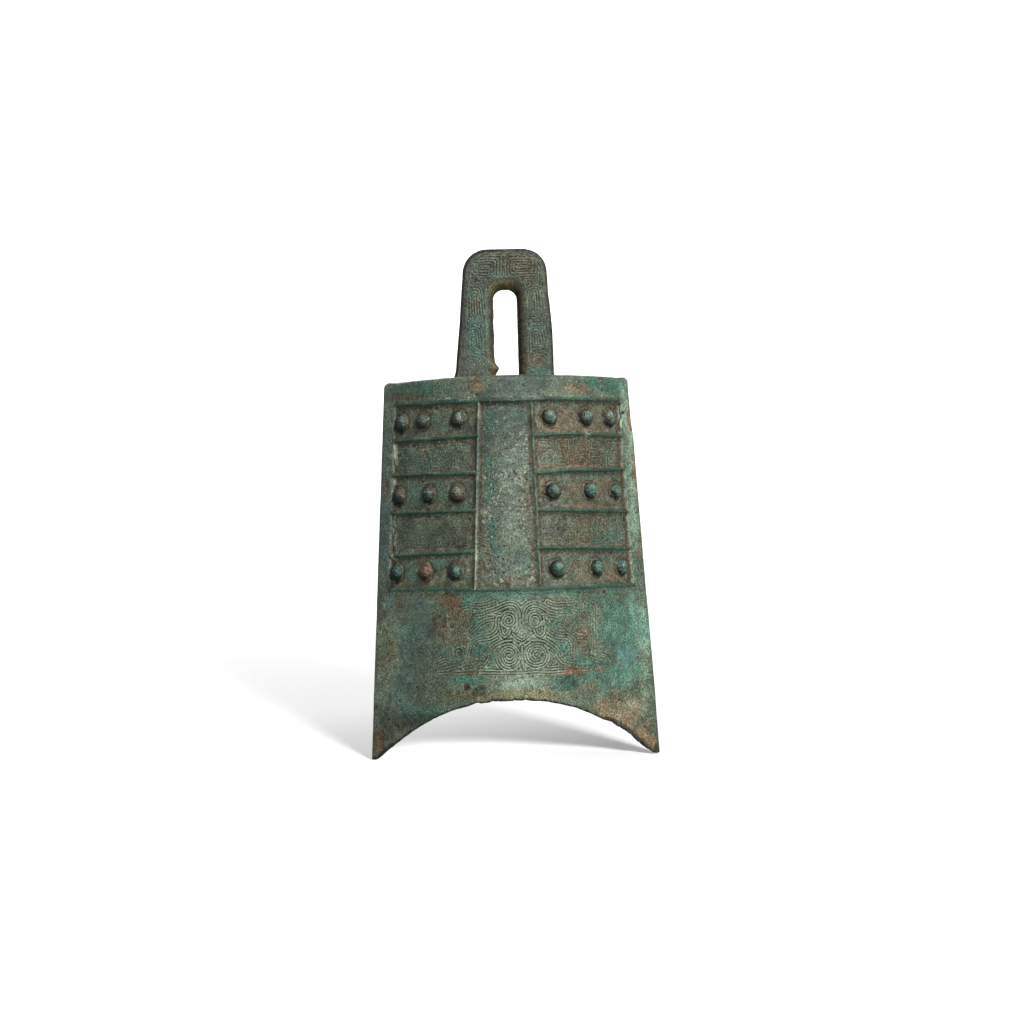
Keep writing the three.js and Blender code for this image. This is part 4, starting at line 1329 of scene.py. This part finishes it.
def loop_face_relief(face, x, z, across):
    """Height over the loop's flat face, and the patina's masks. Across runs from the rim to the window."""
    p = at(x, LOOP_HALF_THICK * FACE_SIGN[face], z)
    lumpy, fine = layered(p, 7.0, 3, 81), layered(p, 1.6, 3, 82)
    wear = np.clip(0.62 + 0.8 * layered(p, 7.0, 3, 83), 0.15, 1.0) * (0.3 + 0.7 * ease(z, 186.0, 195.0))
    panel = ease(across, 0.03, 0.08) * ease(0.95 - across, 0.0, 0.05)
    groove = LOOP_THREADS.groove(x, z, 0.5)
    threads, between = panel * (1 - groove), panel * groove
    shallow = pits(x, z, 1.5, 0.45, 0.5, 84)
    deep = pits(x, z, 5.0, 0.7, 0.3, 85) * ease(lumpy, -0.3, 0.4)
    height = 0.12 * lumpy + 0.05 * fine + wear * (0.1 * panel - 0.42 * between) - 0.12 * shallow - 0.3 * deep
    ragged = layered(p, 6.0, 4, 86, 0.62)
    masks = {key: patch_mask(rows, x, z, ragged) for key, rows in LOOP_PATCHES.items()}
    masks["earth"] *= 0.6 + 0.5 * fine
    cover(masks, "earth", 0.5 * between * ease(lumpy, -0.3, 0.5))
    cover(masks, "dark", 0.8 * deep)
    masks["grime_and_shade"] = 0.6 * between * wear + 0.4 * shallow
    masks["crest"] = 0.55 * threads * wear
    masks["cream_and_highlight"] = 0.45 * threads * wear * ease(fine + 0.6 * lumpy, 0.1, 0.6)
    return height, {key: unit(value) for key, value in masks.items()}


def lay(line, y):
    """Points of a line round the loop, at depth y."""
    return at(line[..., 0], y, line[..., 1] + BODY_HEIGHT)


def loop_lines():
    """Lines round the loop, and which of their places are on its left leg.

    They are the loop's outline, the edge of its face, the window's mouth and the crest of the fin in it.
    """
    edge = swayed(outer_u(0.0))
    left = edge[:, 0] < 0
    spots = lay(edge, 0.0)
    flare = 0.9 * np.where(left, 1.0, 0.3) * (1.0 - ease(edge[:, 1], 0.0, 5.0))

    def uneven(line):
        line = line + 0.25 * layered(spots, 12.0, 2, 91)[:, None] * [1.0, 0.4]
        line[:, 0] += np.where(left, -1.0, 1.0) * flare
        return line

    face_edge = uneven(swayed(outer_u(LOOP_FACE_INSET)))
    mouth, crest = window_u(3.5, 2.4, 4.4), window_u(0.0, 0.0, 0.0)
    fin = np.where(left, 1.0, 0.15) * (1.0 - ease(crest[:, 1], 38.0, 41.0))
    jag = 0.55 * layered(spots, 5.0, 3, 92)
    lump = 2.3 * bump(crest[:, 1] + BODY_HEIGHT, 184.0, 2.3) * left
    crest[:, 0] += fin * (jag + np.where(left, 0.15, 0.0)) + lump
    mouth[:, 0] += 0.6 * lump + 0.3 * fin * jag
    return [line[:, None] for line in (uneven(edge), face_edge, mouth, crest, left)]


def loop_side(sheet, tone, brown=0.0):
    """A sheet of the loop's rim or of its window's wall, roughened, and its masks."""
    spot, speck = layered(sheet, 6.0, 3, 93), layered(sheet, 1.6, 2, 94)
    masks = {
        "earth": 0.3 + 0.5 * spot + tone,
        "grime_and_shade": 0.3 + tone - 0.8 * brown + 0.2 * spot,
        "dark": 0.35 - 0.4 * spot + tone - 1.2 * brown,
        "tan": brown * (1.0 + spot),
        "brightened": brown,
        "teal": 0.4 * speck + 0.2 - tone,
    }
    return sheet + 0.1 * speck[..., None], {key: unit(value) for key, value in masks.items()}


def hanging_loop():
    """The inverted U with threaded panels on both faces and a fin of metal left in its window."""
    edge, face_edge, mouth, crest, left = loop_lines()

    def rim(face, turns, tone):
        """The rounding between the loop's rim and a face."""
        y = FACE_SIGN[face] * (LOOP_HALF_THICK - LOOP_EDGE_ROUND * (1 - np.sin(turns)))
        return loop_side(lay(lerp(edge, face_edge, 1 - np.cos(turns)[:, None]), y), tone)

    def flat_face(face, shares):
        line = lerp(face_edge, mouth, shares[:, None])
        height, masks = loop_face_relief(face, line[..., 0], line[..., 1] + BODY_HEIGHT, shares)
        settle = ease(shares, 0.0, 0.05) * ease(1.0 - shares, 0.0, 0.05)
        rounding = 0.5 * (1 - ease(shares, 0.0, 0.06)) + 0.5 * (1 - ease(1 - shares, 0.0, 0.06))
        y = FACE_SIGN[face] * (LOOP_HALF_THICK - MOUTH_DROP * rounding + height * settle)
        return lay(line, y), masks

    def window_wall(face, shares):
        turns = shares * math.pi / 2
        line = lerp(mouth, crest, np.sin(turns)[:, None])
        # Towards the window's arch and on the left, the wall gets tan and a brightening: its golden-brown
        # crust, with painted light on faces that the lamps hardly reach.
        arch = ease(line[..., 1], 36.0, 42.0) * (1.0 - ease(line[..., 0], 3.0, 7.0))
        crusted = np.where(left, 0.4, 0.25 * (shares < 0.35)) + 0.5 * bump(line[..., 1], 6.0, 3.0) * left
        y = FACE_SIGN[face] * (LOOP_HALF_THICK - MOUTH_DROP) * np.cos(turns)
        return loop_side(lay(line, y), 0.3, np.maximum(0.75 * arch, crusted))

    turns = np.linspace(0.0, 1.0, 7)[:-1] * math.pi / 2
    points, masks = join_sheets([
        # The front rim is darker along the left leg: painted shade on the edge turned away from the light.
        rim("front", turns, np.where(left, 0.55, 0.1)),
        flat_face("front", np.linspace(0.0, 1.0, 50)),
        window_wall("front", np.linspace(0.1, 1.0, 9)),
        window_wall("back", np.linspace(0.9, 0.1, 8)),
        flat_face("back", np.linspace(0.0, 1.0, 36)[::-1]),
        rim("back", turns[::-1], 0.15),
        loop_side(lay(edge, np.array([2.5, 0.0, -2.5])), 0.1),
    ])
    sections = np.arange(len(points))
    sunk = 0.8 * (1.0 - ease(np.minimum(sections, sections[::-1]), 0, 3))
    points[..., 2] -= sunk[:, None]
    return complete_ring(ring_pattern("hanging_loop_cast", points), points, masks, [])


# Bosses and spacers

BOSS_SIZES = {
    "Segments": 64, "Rings": 40, "Point": 0.04, "Skirt": 0.16, "Sink": 0.27, "Lumps": 1.5, "Seed": 0,
}
WORN_POINT = 0.22
WORN_RISE = 0.74


def boss_rule():
    """Domed bosses on a pattern of seats, which hold each one's radius, rise and outward direction."""
    r = Rule("bosses", BOSS_SIZES)
    ball = r.node("GeometryNodeMeshUVSphere", {
        "Segments": r.given["Segments"], "Rings": r.given["Rings"], "Radius": 1.0,
    }).outputs["Mesh"]
    x, y, z = r.place()
    above, below = r.math("MAXIMUM", z, 0.0), r.math("MAXIMUM", r.math("MULTIPLY", z, -1.0), 0.0)
    wide = r.math("SQRT", r.math("ADD", r.math("MULTIPLY", x, x), r.math("MULTIPLY", y, y)))
    power = r.math("MULTIPLY", r.given["Point"], r.step(z, 0.0, 0.3))
    flare = r.math("POWER", r.math("MAXIMUM", wide, 0.0001), power)
    for skirt in (r.step(below, 0.0, 0.25), r.step(above, 0.0, 0.16, 0.35, 0.0)):
        flare = r.math("ADD", flare, r.math("MULTIPLY", r.given["Skirt"], skirt))
    height = r.math("SUBTRACT", above, r.math("MULTIPLY", r.given["Sink"], below))
    dome = r.move(ball, r.math("MULTIPLY", x, flare), r.math("MULTIPLY", y, flare), height)

    towards = {"Vector": r.held("outward", "FLOAT_VECTOR")}
    placed = r.node("GeometryNodeInstanceOnPoints", {
        "Points": r.given["Geometry"], "Instance": dome,
        "Rotation": r.node("FunctionNodeAlignRotationToVector", towards, axis="Z").outputs[0],
        "Scale": r.point(r.held("radius"), r.held("radius"), r.held("rise")),
    }).outputs[0]
    grit = {"W": r.given["Seed"], "Scale": 0.5, "Detail": 4.0, "Roughness": 0.72}
    shift = r.node("ShaderNodeTexNoise", grit, noise_dimensions="4D").outputs["Fac"]
    amount = r.math("MULTIPLY", r.math("SUBTRACT", shift, 0.5), r.given["Lumps"])
    push = r.scale(r.node("GeometryNodeInputNormal").outputs[0], amount)
    rough = r.node("GeometryNodeSetPosition", {"Geometry": r.real(placed), "Offset": push})
    return r.finish(rough.outputs[0])


BOSS_RULE = boss_rule()


def bosses(seats, seed, finish, red=False):
    """The bosses on these seats, worn and crusted each in its own way, with painted light on their right
    sides and painted shade on their left.
    """
    draw = np.random.default_rng(500 + seed)
    floors, outwards = (np.array([seat[key] for seat in seats]) for key in ("floor", "outward"))
    flat = bpy.data.meshes.new("seats")
    flat.from_pydata(list(floors), [], [])
    worn = [WORN_RISE if outermost(seat, "right") else 1.0 for seat in seats]
    rise = BOSS_RISE * draw.uniform(0.98, 1.1, len(seats)) * worn
    add_values(flat, "radius", BOSS_RADIUS * draw.uniform(0.95, 1.02, len(seats)))
    add_values(flat, "rise", rise)
    layer = flat.attributes.new("outward", "FLOAT_VECTOR", "POINT")
    layer.data.foreach_set("vector", outwards.astype(np.float32).ravel())
    is_worn = (seats[0]["face"], seats[0]["side"]) == ("front", "right")
    point = WORN_POINT if is_worn else BOSS_SIZES["Point"]
    mesh = BOSS_RULE.grow(flat, finish, {**BOSS_SIZES, "Point": point, "Seed": seed})
    for key in ("radius", "rise", "outward"):
        if key in mesh.attributes:
            mesh.attributes.remove(mesh.attributes[key])

    points = points_of(mesh)
    owner = np.arange(len(points)) * len(seats) // len(points)
    apart = points - floors[owner]
    top = np.einsum("ij,ij->i", apart, outwards[owner]) / rise[owner]
    lumpy, fine = layered(points, 2.6, 3, 101), layered(points, 0.9, 2, 102)
    low_row = np.array([seat["row"] == "bottom" for seat in seats])[owner]
    tint = draw.uniform(-0.25, 0.25, len(seats))[owner] + np.where(low_row, 0.3, -0.1)
    foot = 1.0 - ease(top, 0.02, 0.45)
    # Each boss is painted lighter and paler, with a painted highlight, on its right side where the light
    # falls, and darker on its left and towards its foot: painted light and shade.
    aside = (apart[:, 0] * 0.95 + apart[:, 2] * 0.2) / BOSS_RADIUS
    lit_side = ease(aside + 0.35 * lumpy, -0.45, 0.55)
    masks = {
        "earth": 0.7 * foot * (0.8 + lumpy) + 0.7 * ease(lumpy + 0.4 * fine - 0.8 * tint, 0.05, 0.45),
        "teal": 0.55 - 1.3 * lumpy + 1.2 * tint,
        "dark": 0.6 + 1.6 * fine - 0.6 * top - 0.4 * lit_side + 0.7 * ease(-aside, 0.1, 0.9),
        "crest": 1.3 * lit_side * ease(top, 0.35, 0.9) * (0.5 + 3.2 * fine),
        "grime_and_shade": foot * (1.0 - 0.5 * lit_side),
        "pale": 0.6 * lit_side * ease(top, 0.4, 1.0) * (0.3 + 2.0 * lumpy),
        "darkened": 1.0 - 1.1 * lit_side,
        "brightened": 0.5 * lit_side * ease(top, 0.2, 0.9),
    }
    # The front's outer left bosses get a painted shadow over their left flank.
    shaded = np.array([outermost(seat, "left") for seat in seats], float)[owner]
    flank = ease(-apart[:, 0] + 0.3 * lumpy, 1.9, 2.7) * shaded
    for key in ("dark", "darkened", "grime_and_shade"):
        cover(masks, key, flank)
    if red:
        masks["rust"] = 0.75 + 0.6 * fine - 0.5 * ease(lumpy, 0.1, 0.5)
        masks["dark"] = 0.3 + 0.8 * fine
        masks.pop("teal")
    return complete_mesh(mesh, points, {key: unit(value) for key, value in masks.items()})


def spacer_mesh(face, node):
    """A corroded square end of a core spacer, flush with the wall and pitted."""
    centre = node_points(node).mean(0)
    outward = wall_normal(face, centre[0], centre[2])
    upward = np.array([0.0, 0.0, 1.0]) - outward * outward[2]
    upward /= np.linalg.norm(upward)
    sideways = np.cross(upward, outward)
    u, v = np.meshgrid(*[np.linspace(-0.5, 0.5, SPACER_STEPS)] * 2, indexing="ij")
    round_off = 1.0 - 0.12 * ease(np.minimum(np.abs(u), np.abs(v)), 0.3, 0.5)
    x, z = u * SPACER_SIDE * round_off, v * SPACER_SIDE * round_off
    base = centre + outward * WALL / 2 + x[..., None] * sideways + z[..., None] * upward
    noise = layered(base, 1.3, 3, 111)
    lift = 0.12 + 0.2 * noise - 0.25 * ease(np.maximum(np.abs(u), np.abs(v)), 0.44, 0.5)
    top, bottom = base + lift[..., None] * outward, base - WALL * outward
    speck = np.concatenate([noise, noise], axis=1)
    values = {"dark": unit(0.6 + 0.4 * speck), "earth": unit(0.5 - 0.6 * speck), "grime_and_shade": 0.5}
    points, masks = join_sheets([(np.concatenate([top, bottom[:, ::-1]], axis=1), values)])
    hard_rows = [0, SPACER_STEPS - 1, SPACER_STEPS, 2 * SPACER_STEPS - 1]
    return complete_ring(ring_pattern(node, points), points, masks, hard_rows)


# Finishes

PATINA_DEPTH = 0.62


def paint(code, depth=PATINA_DEPTH):
    """A colour of the lit surface, as a shader wants it: linear, and without the light."""
    values = [int(code[i:i + 2], 16) / 255.0 for i in (1, 3, 5)]
    return (*[depth * (v / 12.92 if v <= 0.04045 else ((v + 0.055) / 1.055) ** 2.4) for v in values], 1.0)


class Finish(Tree):
    """A material's node tree."""

    def __init__(self, name):
        self.material = bpy.data.materials.new(name)
        self.material.use_nodes = True
        self.tree = self.material.node_tree
        self.shader = self.tree.nodes["Principled BSDF"]
        self.place = self.node("ShaderNodeTexCoord").outputs["Object"]

    def coat(self, **values):
        """What goes into the shader's sockets."""
        for key, value in values.items():
            self.join(self.shader.inputs[key.replace("_", " ")], value)

    def noise(self, size, detail=3.0, rough=0.6, warp=0.0):
        """Noise from 0 to 1, with lumps about size mm across."""
        values = {"Scale": 1.0 / (size * MM), "Detail": detail, "Roughness": rough, "Distortion": warp}
        return self.node("ShaderNodeTexNoise", {"Vector": self.place, **values}).outputs["Fac"]

    def cells(self, size):
        values = {"Vector": self.place, "Scale": 1.0 / (size * MM)}
        return self.node("ShaderNodeTexVoronoi", values).outputs["Distance"]

    def mask(self, name):
        return self.node("ShaderNodeAttribute", attribute_name=name).outputs["Fac"]

    def mix(self, amount, a, b):
        return self.node("ShaderNodeMix", {0: amount, 6: a, 7: b}, data_type="RGBA").outputs[2]

    def bump(self, height, strength, distance, under=None):
        values = {"Height": height, "Strength": strength, "Distance": distance * MM}
        if under is not None:
            values["Normal"] = under
        return self.node("ShaderNodeBump", values).outputs["Normal"]


PATINA = {
    "deep": "#37453a", "ground": "#5d6e5b", "mint": "#8fa58d", "cream_and_highlight": "#b9bfa6", "tan": "#9d866c",
    "teal": "#4e8875", "teal_dark": "#28594b", "rib": "#20503e", "blue": "#4f7072",
    "earth": "#7b6440", "earth_dark": "#3c2e19", "rust": "#7f4a33", "black": "#12150f", "olive": "#6e6e46",
}


def patina_finish(name, tones, shine=0.0, depth=PATINA_DEPTH, grainy=1.0):
    """Old green patina over bronze: earth and painted shade in the recesses, crests pale from wear and
    painted highlight, pits and crusts.
    """
    tone = {key: paint(tones.get(key, code), depth) for key, code in PATINA.items()}
    f = Finish(name)
    cloud = f.noise(12.0, 5.0, 0.62)
    drift = f.noise(5.5, 4.0, 0.6, 0.4)
    spot = f.noise(2.4, 5.0, 0.72)
    fleck = f.noise(1.25, 4.0, 0.7, 0.5)
    speck = f.noise(0.62, 3.0, 0.75)

    color = f.mix(f.step(cloud, 0.36, 0.62), tone["deep"], tone["ground"])
    color = f.mix(f.step(spot, 0.36, 0.64, 0.0, 0.7), color, tone["ground"])
    color = f.mix(f.step(fleck, 0.52, 0.68, 0.0, 0.4), color, tone["tan"])
    color = f.mix(f.step(speck, 0.48, 0.66, 0.0, 0.5), color, tone["mint"])
    teal = f.mix(f.step(speck, 0.36, 0.60), tone["teal_dark"], tone["teal"])
    earth = f.mix(f.step(speck, 0.38, 0.62), tone["earth_dark"], tone["earth"])
    tan = f.mix(f.step(speck, 0.34, 0.58), tone["earth"], tone["tan"])
    # The colour laid in the recesses, for their earth and their painted shade alike.
    recess_tone = f.mix(f.step(fleck, 0.46, 0.64), tone["earth_dark"], tone["earth"])
    coats = (
        # The mask, its strength, the noise that breaks it up, where it starts and is full, amount and colour
        ("pale", 0.34, fleck, 0.50, 0.90, 0.85, tone["mint"]),
        ("teal", 0.46, spot, 0.54, 0.90, 0.85, teal),
        ("blue", 0.50, spot, 0.54, 0.90, 0.65, tone["blue"]),
        ("olive", 0.50, fleck, 0.54, 0.92, 0.65, tone["olive"]),
        ("earth", 0.55, spot, 0.58, 0.98, 0.85, earth),
        ("tan", 0.55, fleck, 0.60, 0.98, 0.85, tan),
        ("rust", 0.55, fleck, 0.68, 1.0, 0.75, tone["rust"]),
        ("shade", 0.70, spot, 0.62, 1.0, 0.85, tone["rib"]),
        ("grime_and_shade", 0.70, spot, 0.58, 1.0, 0.88, recess_tone),
        ("cream_and_highlight", 0.60, fleck, 0.62, 0.95, 0.85, tone["cream_and_highlight"]),
        ("crest", 0.55, speck, 0.58, 0.95, 0.75, tone["mint"]),
        ("dark", 0.60, spot, 0.62, 1.05, 0.8, tone["black"]),
    )
    cuts = {}
    for mask, strength, noise, low, high, amount, over in coats:
        cut = f.step(f.math("ADD", f.math("MULTIPLY", f.mask(mask), strength), noise), low, high)
        color = f.mix(f.math("MULTIPLY", cut, amount), color, over)
        cuts[mask] = cut
    holes = f.math("MULTIPLY", f.step(f.cells(0.95), 0.12, 0.34, 1.0, 0.0), f.step(spot, 0.38, 0.54))
    color = f.mix(f.math("MULTIPLY", holes, 0.6), color, tone["black"])
    color = f.scale(color, f.step(speck, 0.34, 0.64, 0.50, 1.32))
    color = f.scale(color, f.step(drift, 0.34, 0.66, 0.78, 1.2))
    # Two masks scale the colour down and up: partly the patina's own tone, partly painted shade and painted
    # light.
    light = f.math("SUBTRACT", 1.0, f.math("MULTIPLY", f.mask("darkened"), 0.5))
    light = f.math("ADD", light, f.math("MULTIPLY", f.mask("brightened"), 0.7))

    rough = f.step(spot, 0.3, 0.7, 0.44 - shine, 0.68 - shine)
    rough = f.math("ADD", rough, f.math("MULTIPLY", cuts["earth"], 0.18))
    rough = f.math("SUBTRACT", rough, f.math("MULTIPLY", cuts["crest"], 0.14))
    relief = f.bump(spot, 0.6, 0.5 * grainy)
    relief = f.bump(speck, 0.8, 0.28 * grainy, relief)
    relief = f.bump(f.math("SUBTRACT", 1.0, holes), 0.5, 0.25, relief)
    f.coat(Base_Color=f.scale(color, light), Roughness=rough, Normal=relief)
    f.coat(Metallic=0.12, Specular_IOR_Level=0.5)
    return f.material


# Camera

CAMERA_SPOT = Vector((0.0, -1248.0, 98.0)) * MM
CAMERA_TARGET = Vector((1.3, 0.0, 115.77)) * MM
CAMERA_ROLL = math.radians(-1.40)
SENSOR = 36.0
FOCAL_PIXELS = 2637.0
FRAME_PIXELS = 1024.0


def place_camera():
    data = bpy.data.cameras.new("camera")
    data.sensor_width = SENSOR
    data.sensor_fit = "HORIZONTAL"
    data.lens = FOCAL_PIXELS * SENSOR / FRAME_PIXELS
    data.clip_start, data.clip_end = 0.05, 60.0
    camera = bpy.data.objects.new("camera", data)
    bpy.context.scene.collection.objects.link(camera)
    forward = (CAMERA_TARGET - CAMERA_SPOT).normalized()
    right = forward.cross(Vector((0, 0, 1))).normalized()
    up = right.cross(forward)
    turned_right = right * math.cos(CAMERA_ROLL) + up * math.sin(CAMERA_ROLL)
    turned_up = up * math.cos(CAMERA_ROLL) - right * math.sin(CAMERA_ROLL)
    matrix = camera.matrix_world.copy()
    for axis, column in enumerate((turned_right, turned_up, -forward)):
        for row in range(3):
            matrix[row][axis] = column[row]
    matrix.translation = CAMERA_SPOT
    camera.matrix_world = matrix
    bpy.context.scene.camera = camera


# Studio

PAPER_SHADE = 0.8
FLOOR_GLOW = 0.12
FLOOR_GLOW_MIDDLE = 0.69
FLOOR_GLOW_FAR = 0.81
DEEPEST_SHADE = (0.065, 0.036, 0.0)
SHADE_STRETCH = (1.0, 0.6, 1.0)
BACKDROP_GLOW = 0.98
AIR_GLOW = 0.22
SWEEP_SIDES, FLOOR_RADIUS, SWEEP_BEND, BACKDROP_TOP = 96, 2.6, 1.2, 4.0
LIGHT_TARGET = Vector((0.0, 0.0, 0.12))
# Azimuth, elevation, distance, size, power and colour of each light on the bell
BELL_LIGHTS = {
    "key_light": (21.0, 42.0, 2.2, (0.45, 0.45), 54.0, (1.0, 0.985, 0.96)),
    "low_light": (11.5, 17.0, 2.4, (0.3, 1.0), 40.0),
    "right_light": (62.0, 24.0, 2.4, (0.8, 0.8), 16.0),
    "back_light": (185.0, 24.0, 2.6, (1.6, 1.2), 44.0),
    "left_back_light": (265.0, 25.0, 2.6, (1.0, 1.0), 8.0),
}
PAPER_LIGHT = (10.8, 7.8, 2.4, (0.26, 0.2), 260.0)


def aimed_light(name, lit, azimuth, elevation, distance, size, power, color=(1.0, 1.0, 1.0)):
    """A soft light on the middle of the bell. Azimuth turns from the camera's side to the right.

    Lit is the collection that says what takes its light.
    """
    turn, rise = math.radians(azimuth), math.radians(elevation)
    way = Vector((math.cos(rise) * math.sin(turn), -math.cos(rise) * math.cos(turn), math.sin(rise)))
    data = bpy.data.lights.new(name, "AREA")
    data.shape = "ELLIPSE"
    data.size, data.size_y = size
    data.energy = power
    data.color = color
    light = bpy.data.objects.new(name, data)
    bpy.context.scene.collection.objects.link(light)
    light.light_linking.receiver_collection = lit
    light.location = LIGHT_TARGET + way * distance
    light.rotation_euler = (-way).to_track_quat("-Z", "Y").to_euler()


def stage_sheet(name, points, faces, glow):
    """A part of the paper sweep, which takes light but throws none back on the bell.

    Without a glow of its own, it has the floor's: faint by the bell and full further off, which paints a
    soft shade round the bell.
    """
    mesh = bpy.data.meshes.new(name)
    mesh.from_pydata(points, [], faces)
    mesh.polygons.foreach_set("use_smooth", np.ones(len(faces), bool))
    sheet = bpy.data.objects.new(name, mesh)
    bpy.context.scene.collection.objects.link(sheet)
    paper = Finish(f"{name}_paper")
    if glow is None:
        stretch = {0: paper.place, 1: SHADE_STRETCH}
        spot = paper.node("ShaderNodeVectorMath", stretch, operation="MULTIPLY").outputs[0]
        apart = {0: spot, 1: DEEPEST_SHADE}
        away = paper.node("ShaderNodeVectorMath", apart, operation="DISTANCE").outputs["Value"]
        near = paper.step(away, -0.1, 0.3, FLOOR_GLOW, FLOOR_GLOW_MIDDLE)
        glow = paper.math("ADD", near, paper.step(away, 0.1, 0.9, 0.0, FLOOR_GLOW_FAR - FLOOR_GLOW_MIDDLE))
    paper.coat(Base_Color=(PAPER_SHADE,) * 3 + (1.0,), Roughness=0.9, Specular_IOR_Level=0.1)
    paper.coat(Emission_Color=(1.0, 1.0, 1.0, 1.0), Emission_Strength=glow)
    mesh.materials.append(paper.material)
    sheet.visible_diffuse = False
    sheet.visible_glossy = False
    return sheet


def build_studio():
    """A pale floor that curves up into a backdrop all round, and soft lights."""
    around, radius, bend = SWEEP_SIDES, FLOOR_RADIUS, SWEEP_BEND
    spots = [(math.cos(j / around * math.tau), math.sin(j / around * math.tau)) for j in range(around)]
    points = [(0.0, 0.0, 0.0)] + [(radius * x, radius * y, 0.0) for x, y in spots]
    faces = [(0, 1 + j, 1 + (j + 1) % around) for j in range(around)]
    floor = stage_sheet("studio_floor", points, faces, None)
    turns = np.linspace(0, math.pi / 2, 13)
    rings = [(radius + bend * math.sin(t), bend * (1 - math.cos(t))) for t in turns]
    rings.append((radius + bend, BACKDROP_TOP))
    points = [(r * x, r * y, z) for r, z in rings for x, y in spots]
    faces = []
    for i in range(len(rings) - 1):
        for j in range(around):
            k = (j + 1) % around
            faces.append((i * around + j, (i + 1) * around + j, (i + 1) * around + k, i * around + k))
    backdrop = stage_sheet("studio_backdrop", points, faces, BACKDROP_GLOW)

    world = bpy.data.worlds.new("studio_air")
    world.use_nodes = True
    world.node_tree.nodes["Background"].inputs["Color"].default_value = (1.0, 1.0, 1.0, 1.0)
    world.node_tree.nodes["Background"].inputs["Strength"].default_value = AIR_GLOW
    bpy.context.scene.world = world

    paper_only = bpy.data.collections.new("paper_only")
    bell_only = bpy.data.collections.new("bell_only")
    for sheet in (floor, backdrop):
        paper_only.objects.link(sheet)
        bell_only.objects.link(sheet)
    for entry in bell_only.collection_objects:
        entry.light_linking.link_state = "EXCLUDE"
    for name, values in BELL_LIGHTS.items():
        aimed_light(name, bell_only, *values)
    aimed_light("paper_light", paper_only, *PAPER_LIGHT)


# Assembly

LOOP_TONES = {
    "deep": "#26352a", "ground": "#435845", "mint": "#849474", "tan": "#8a7850", "earth": "#6a5433",
}
LOOP_DEPTH = 0.345
BOSS_TONES = {
    "deep": "#262f26", "ground": "#3f4f44", "mint": "#7b9083", "teal": "#34685a", "teal_dark": "#1f4238",
    "tan": "#6d6248",
}
RED_TONES = {
    "deep": "#3c2a20", "ground": "#644536", "mint": "#8a7a68", "rust": "#7a4630", "tan": "#7d5c42",
}
SPACER_TONES = {"ground": "#3a372c", "deep": "#23221b"}
RED_SEAT = "boss_front_left_bottom_middle"

# The blocks of the framed wall, and the lines they run between
FRAME_EDGES = (
    lambda z: -half_width(z),
    lambda z: upright(UPRIGHT_LEFT, z),
    lambda z: upright(UPRIGHT_RIGHT, z),
    half_width,
)
FRAME_BLOCKS = ("frame_left", "centre_panel", "frame_right")


def build_walls(finish):
    pieces = {}
    for face in FACE_SIGN:
        pieces[f"{face}_striking_wall"] = lower_wall(face, finish)
        for part, *ends in zip(FRAME_BLOCKS, FRAME_EDGES[:-1], FRAME_EDGES[1:]):
            pieces[f"{face}_{part}"] = upper_wall(face, part, ends, finish)
    pieces["top_plate"] = top_plate(finish)
    for name, mesh in pieces.items():
        add_piece(name, mesh, finish, "bronze_body", "bell_body")


def build_bosses(finish, red_finish):
    groups = {
        f"{face}_{side}_bosses": [
            seat for seat in SEATS
            if (seat["face"], seat["side"]) == (face, side) and seat["name"] != RED_SEAT
        ]
        for face in FACE_SIGN for side in ("left", "right")
    }
    for seed, (name, seats) in enumerate(groups.items()):
        names = [seat["name"] for seat in seats]
        add_piece(name, bosses(seats, seed, finish), finish, "bronze_boss", *names)
    red_seats = [seat for seat in SEATS if seat["name"] == RED_SEAT]
    mesh = bosses(red_seats, len(groups), red_finish, red=True)
    add_piece("front_red_boss", mesh, red_finish, "bronze_boss_red", RED_SEAT)


def build_bell():
    build_walls(patina_finish("patina_body", {}))
    loop = patina_finish("patina_loop", LOOP_TONES, 0.04, LOOP_DEPTH)
    add_piece("hanging_loop_cast", hanging_loop(), loop, "bronze_loop", "hanging_loop")
    boss = patina_finish("patina_boss", BOSS_TONES, 0.24, grainy=1.6)
    build_bosses(boss, patina_finish("patina_red_boss", RED_TONES, 0.06))
    plug = patina_finish("patina_spacer", SPACER_TONES)
    for face in FACE_SIGN:
        node = f"core_spacer_{face}"
        add_piece(f"{node}_plug", spacer_mesh(face, node), plug, "bronze_spacer", node)


place_camera()
build_studio()
build_bell()
bpy.context.scene.view_settings.view_transform = "Standard"
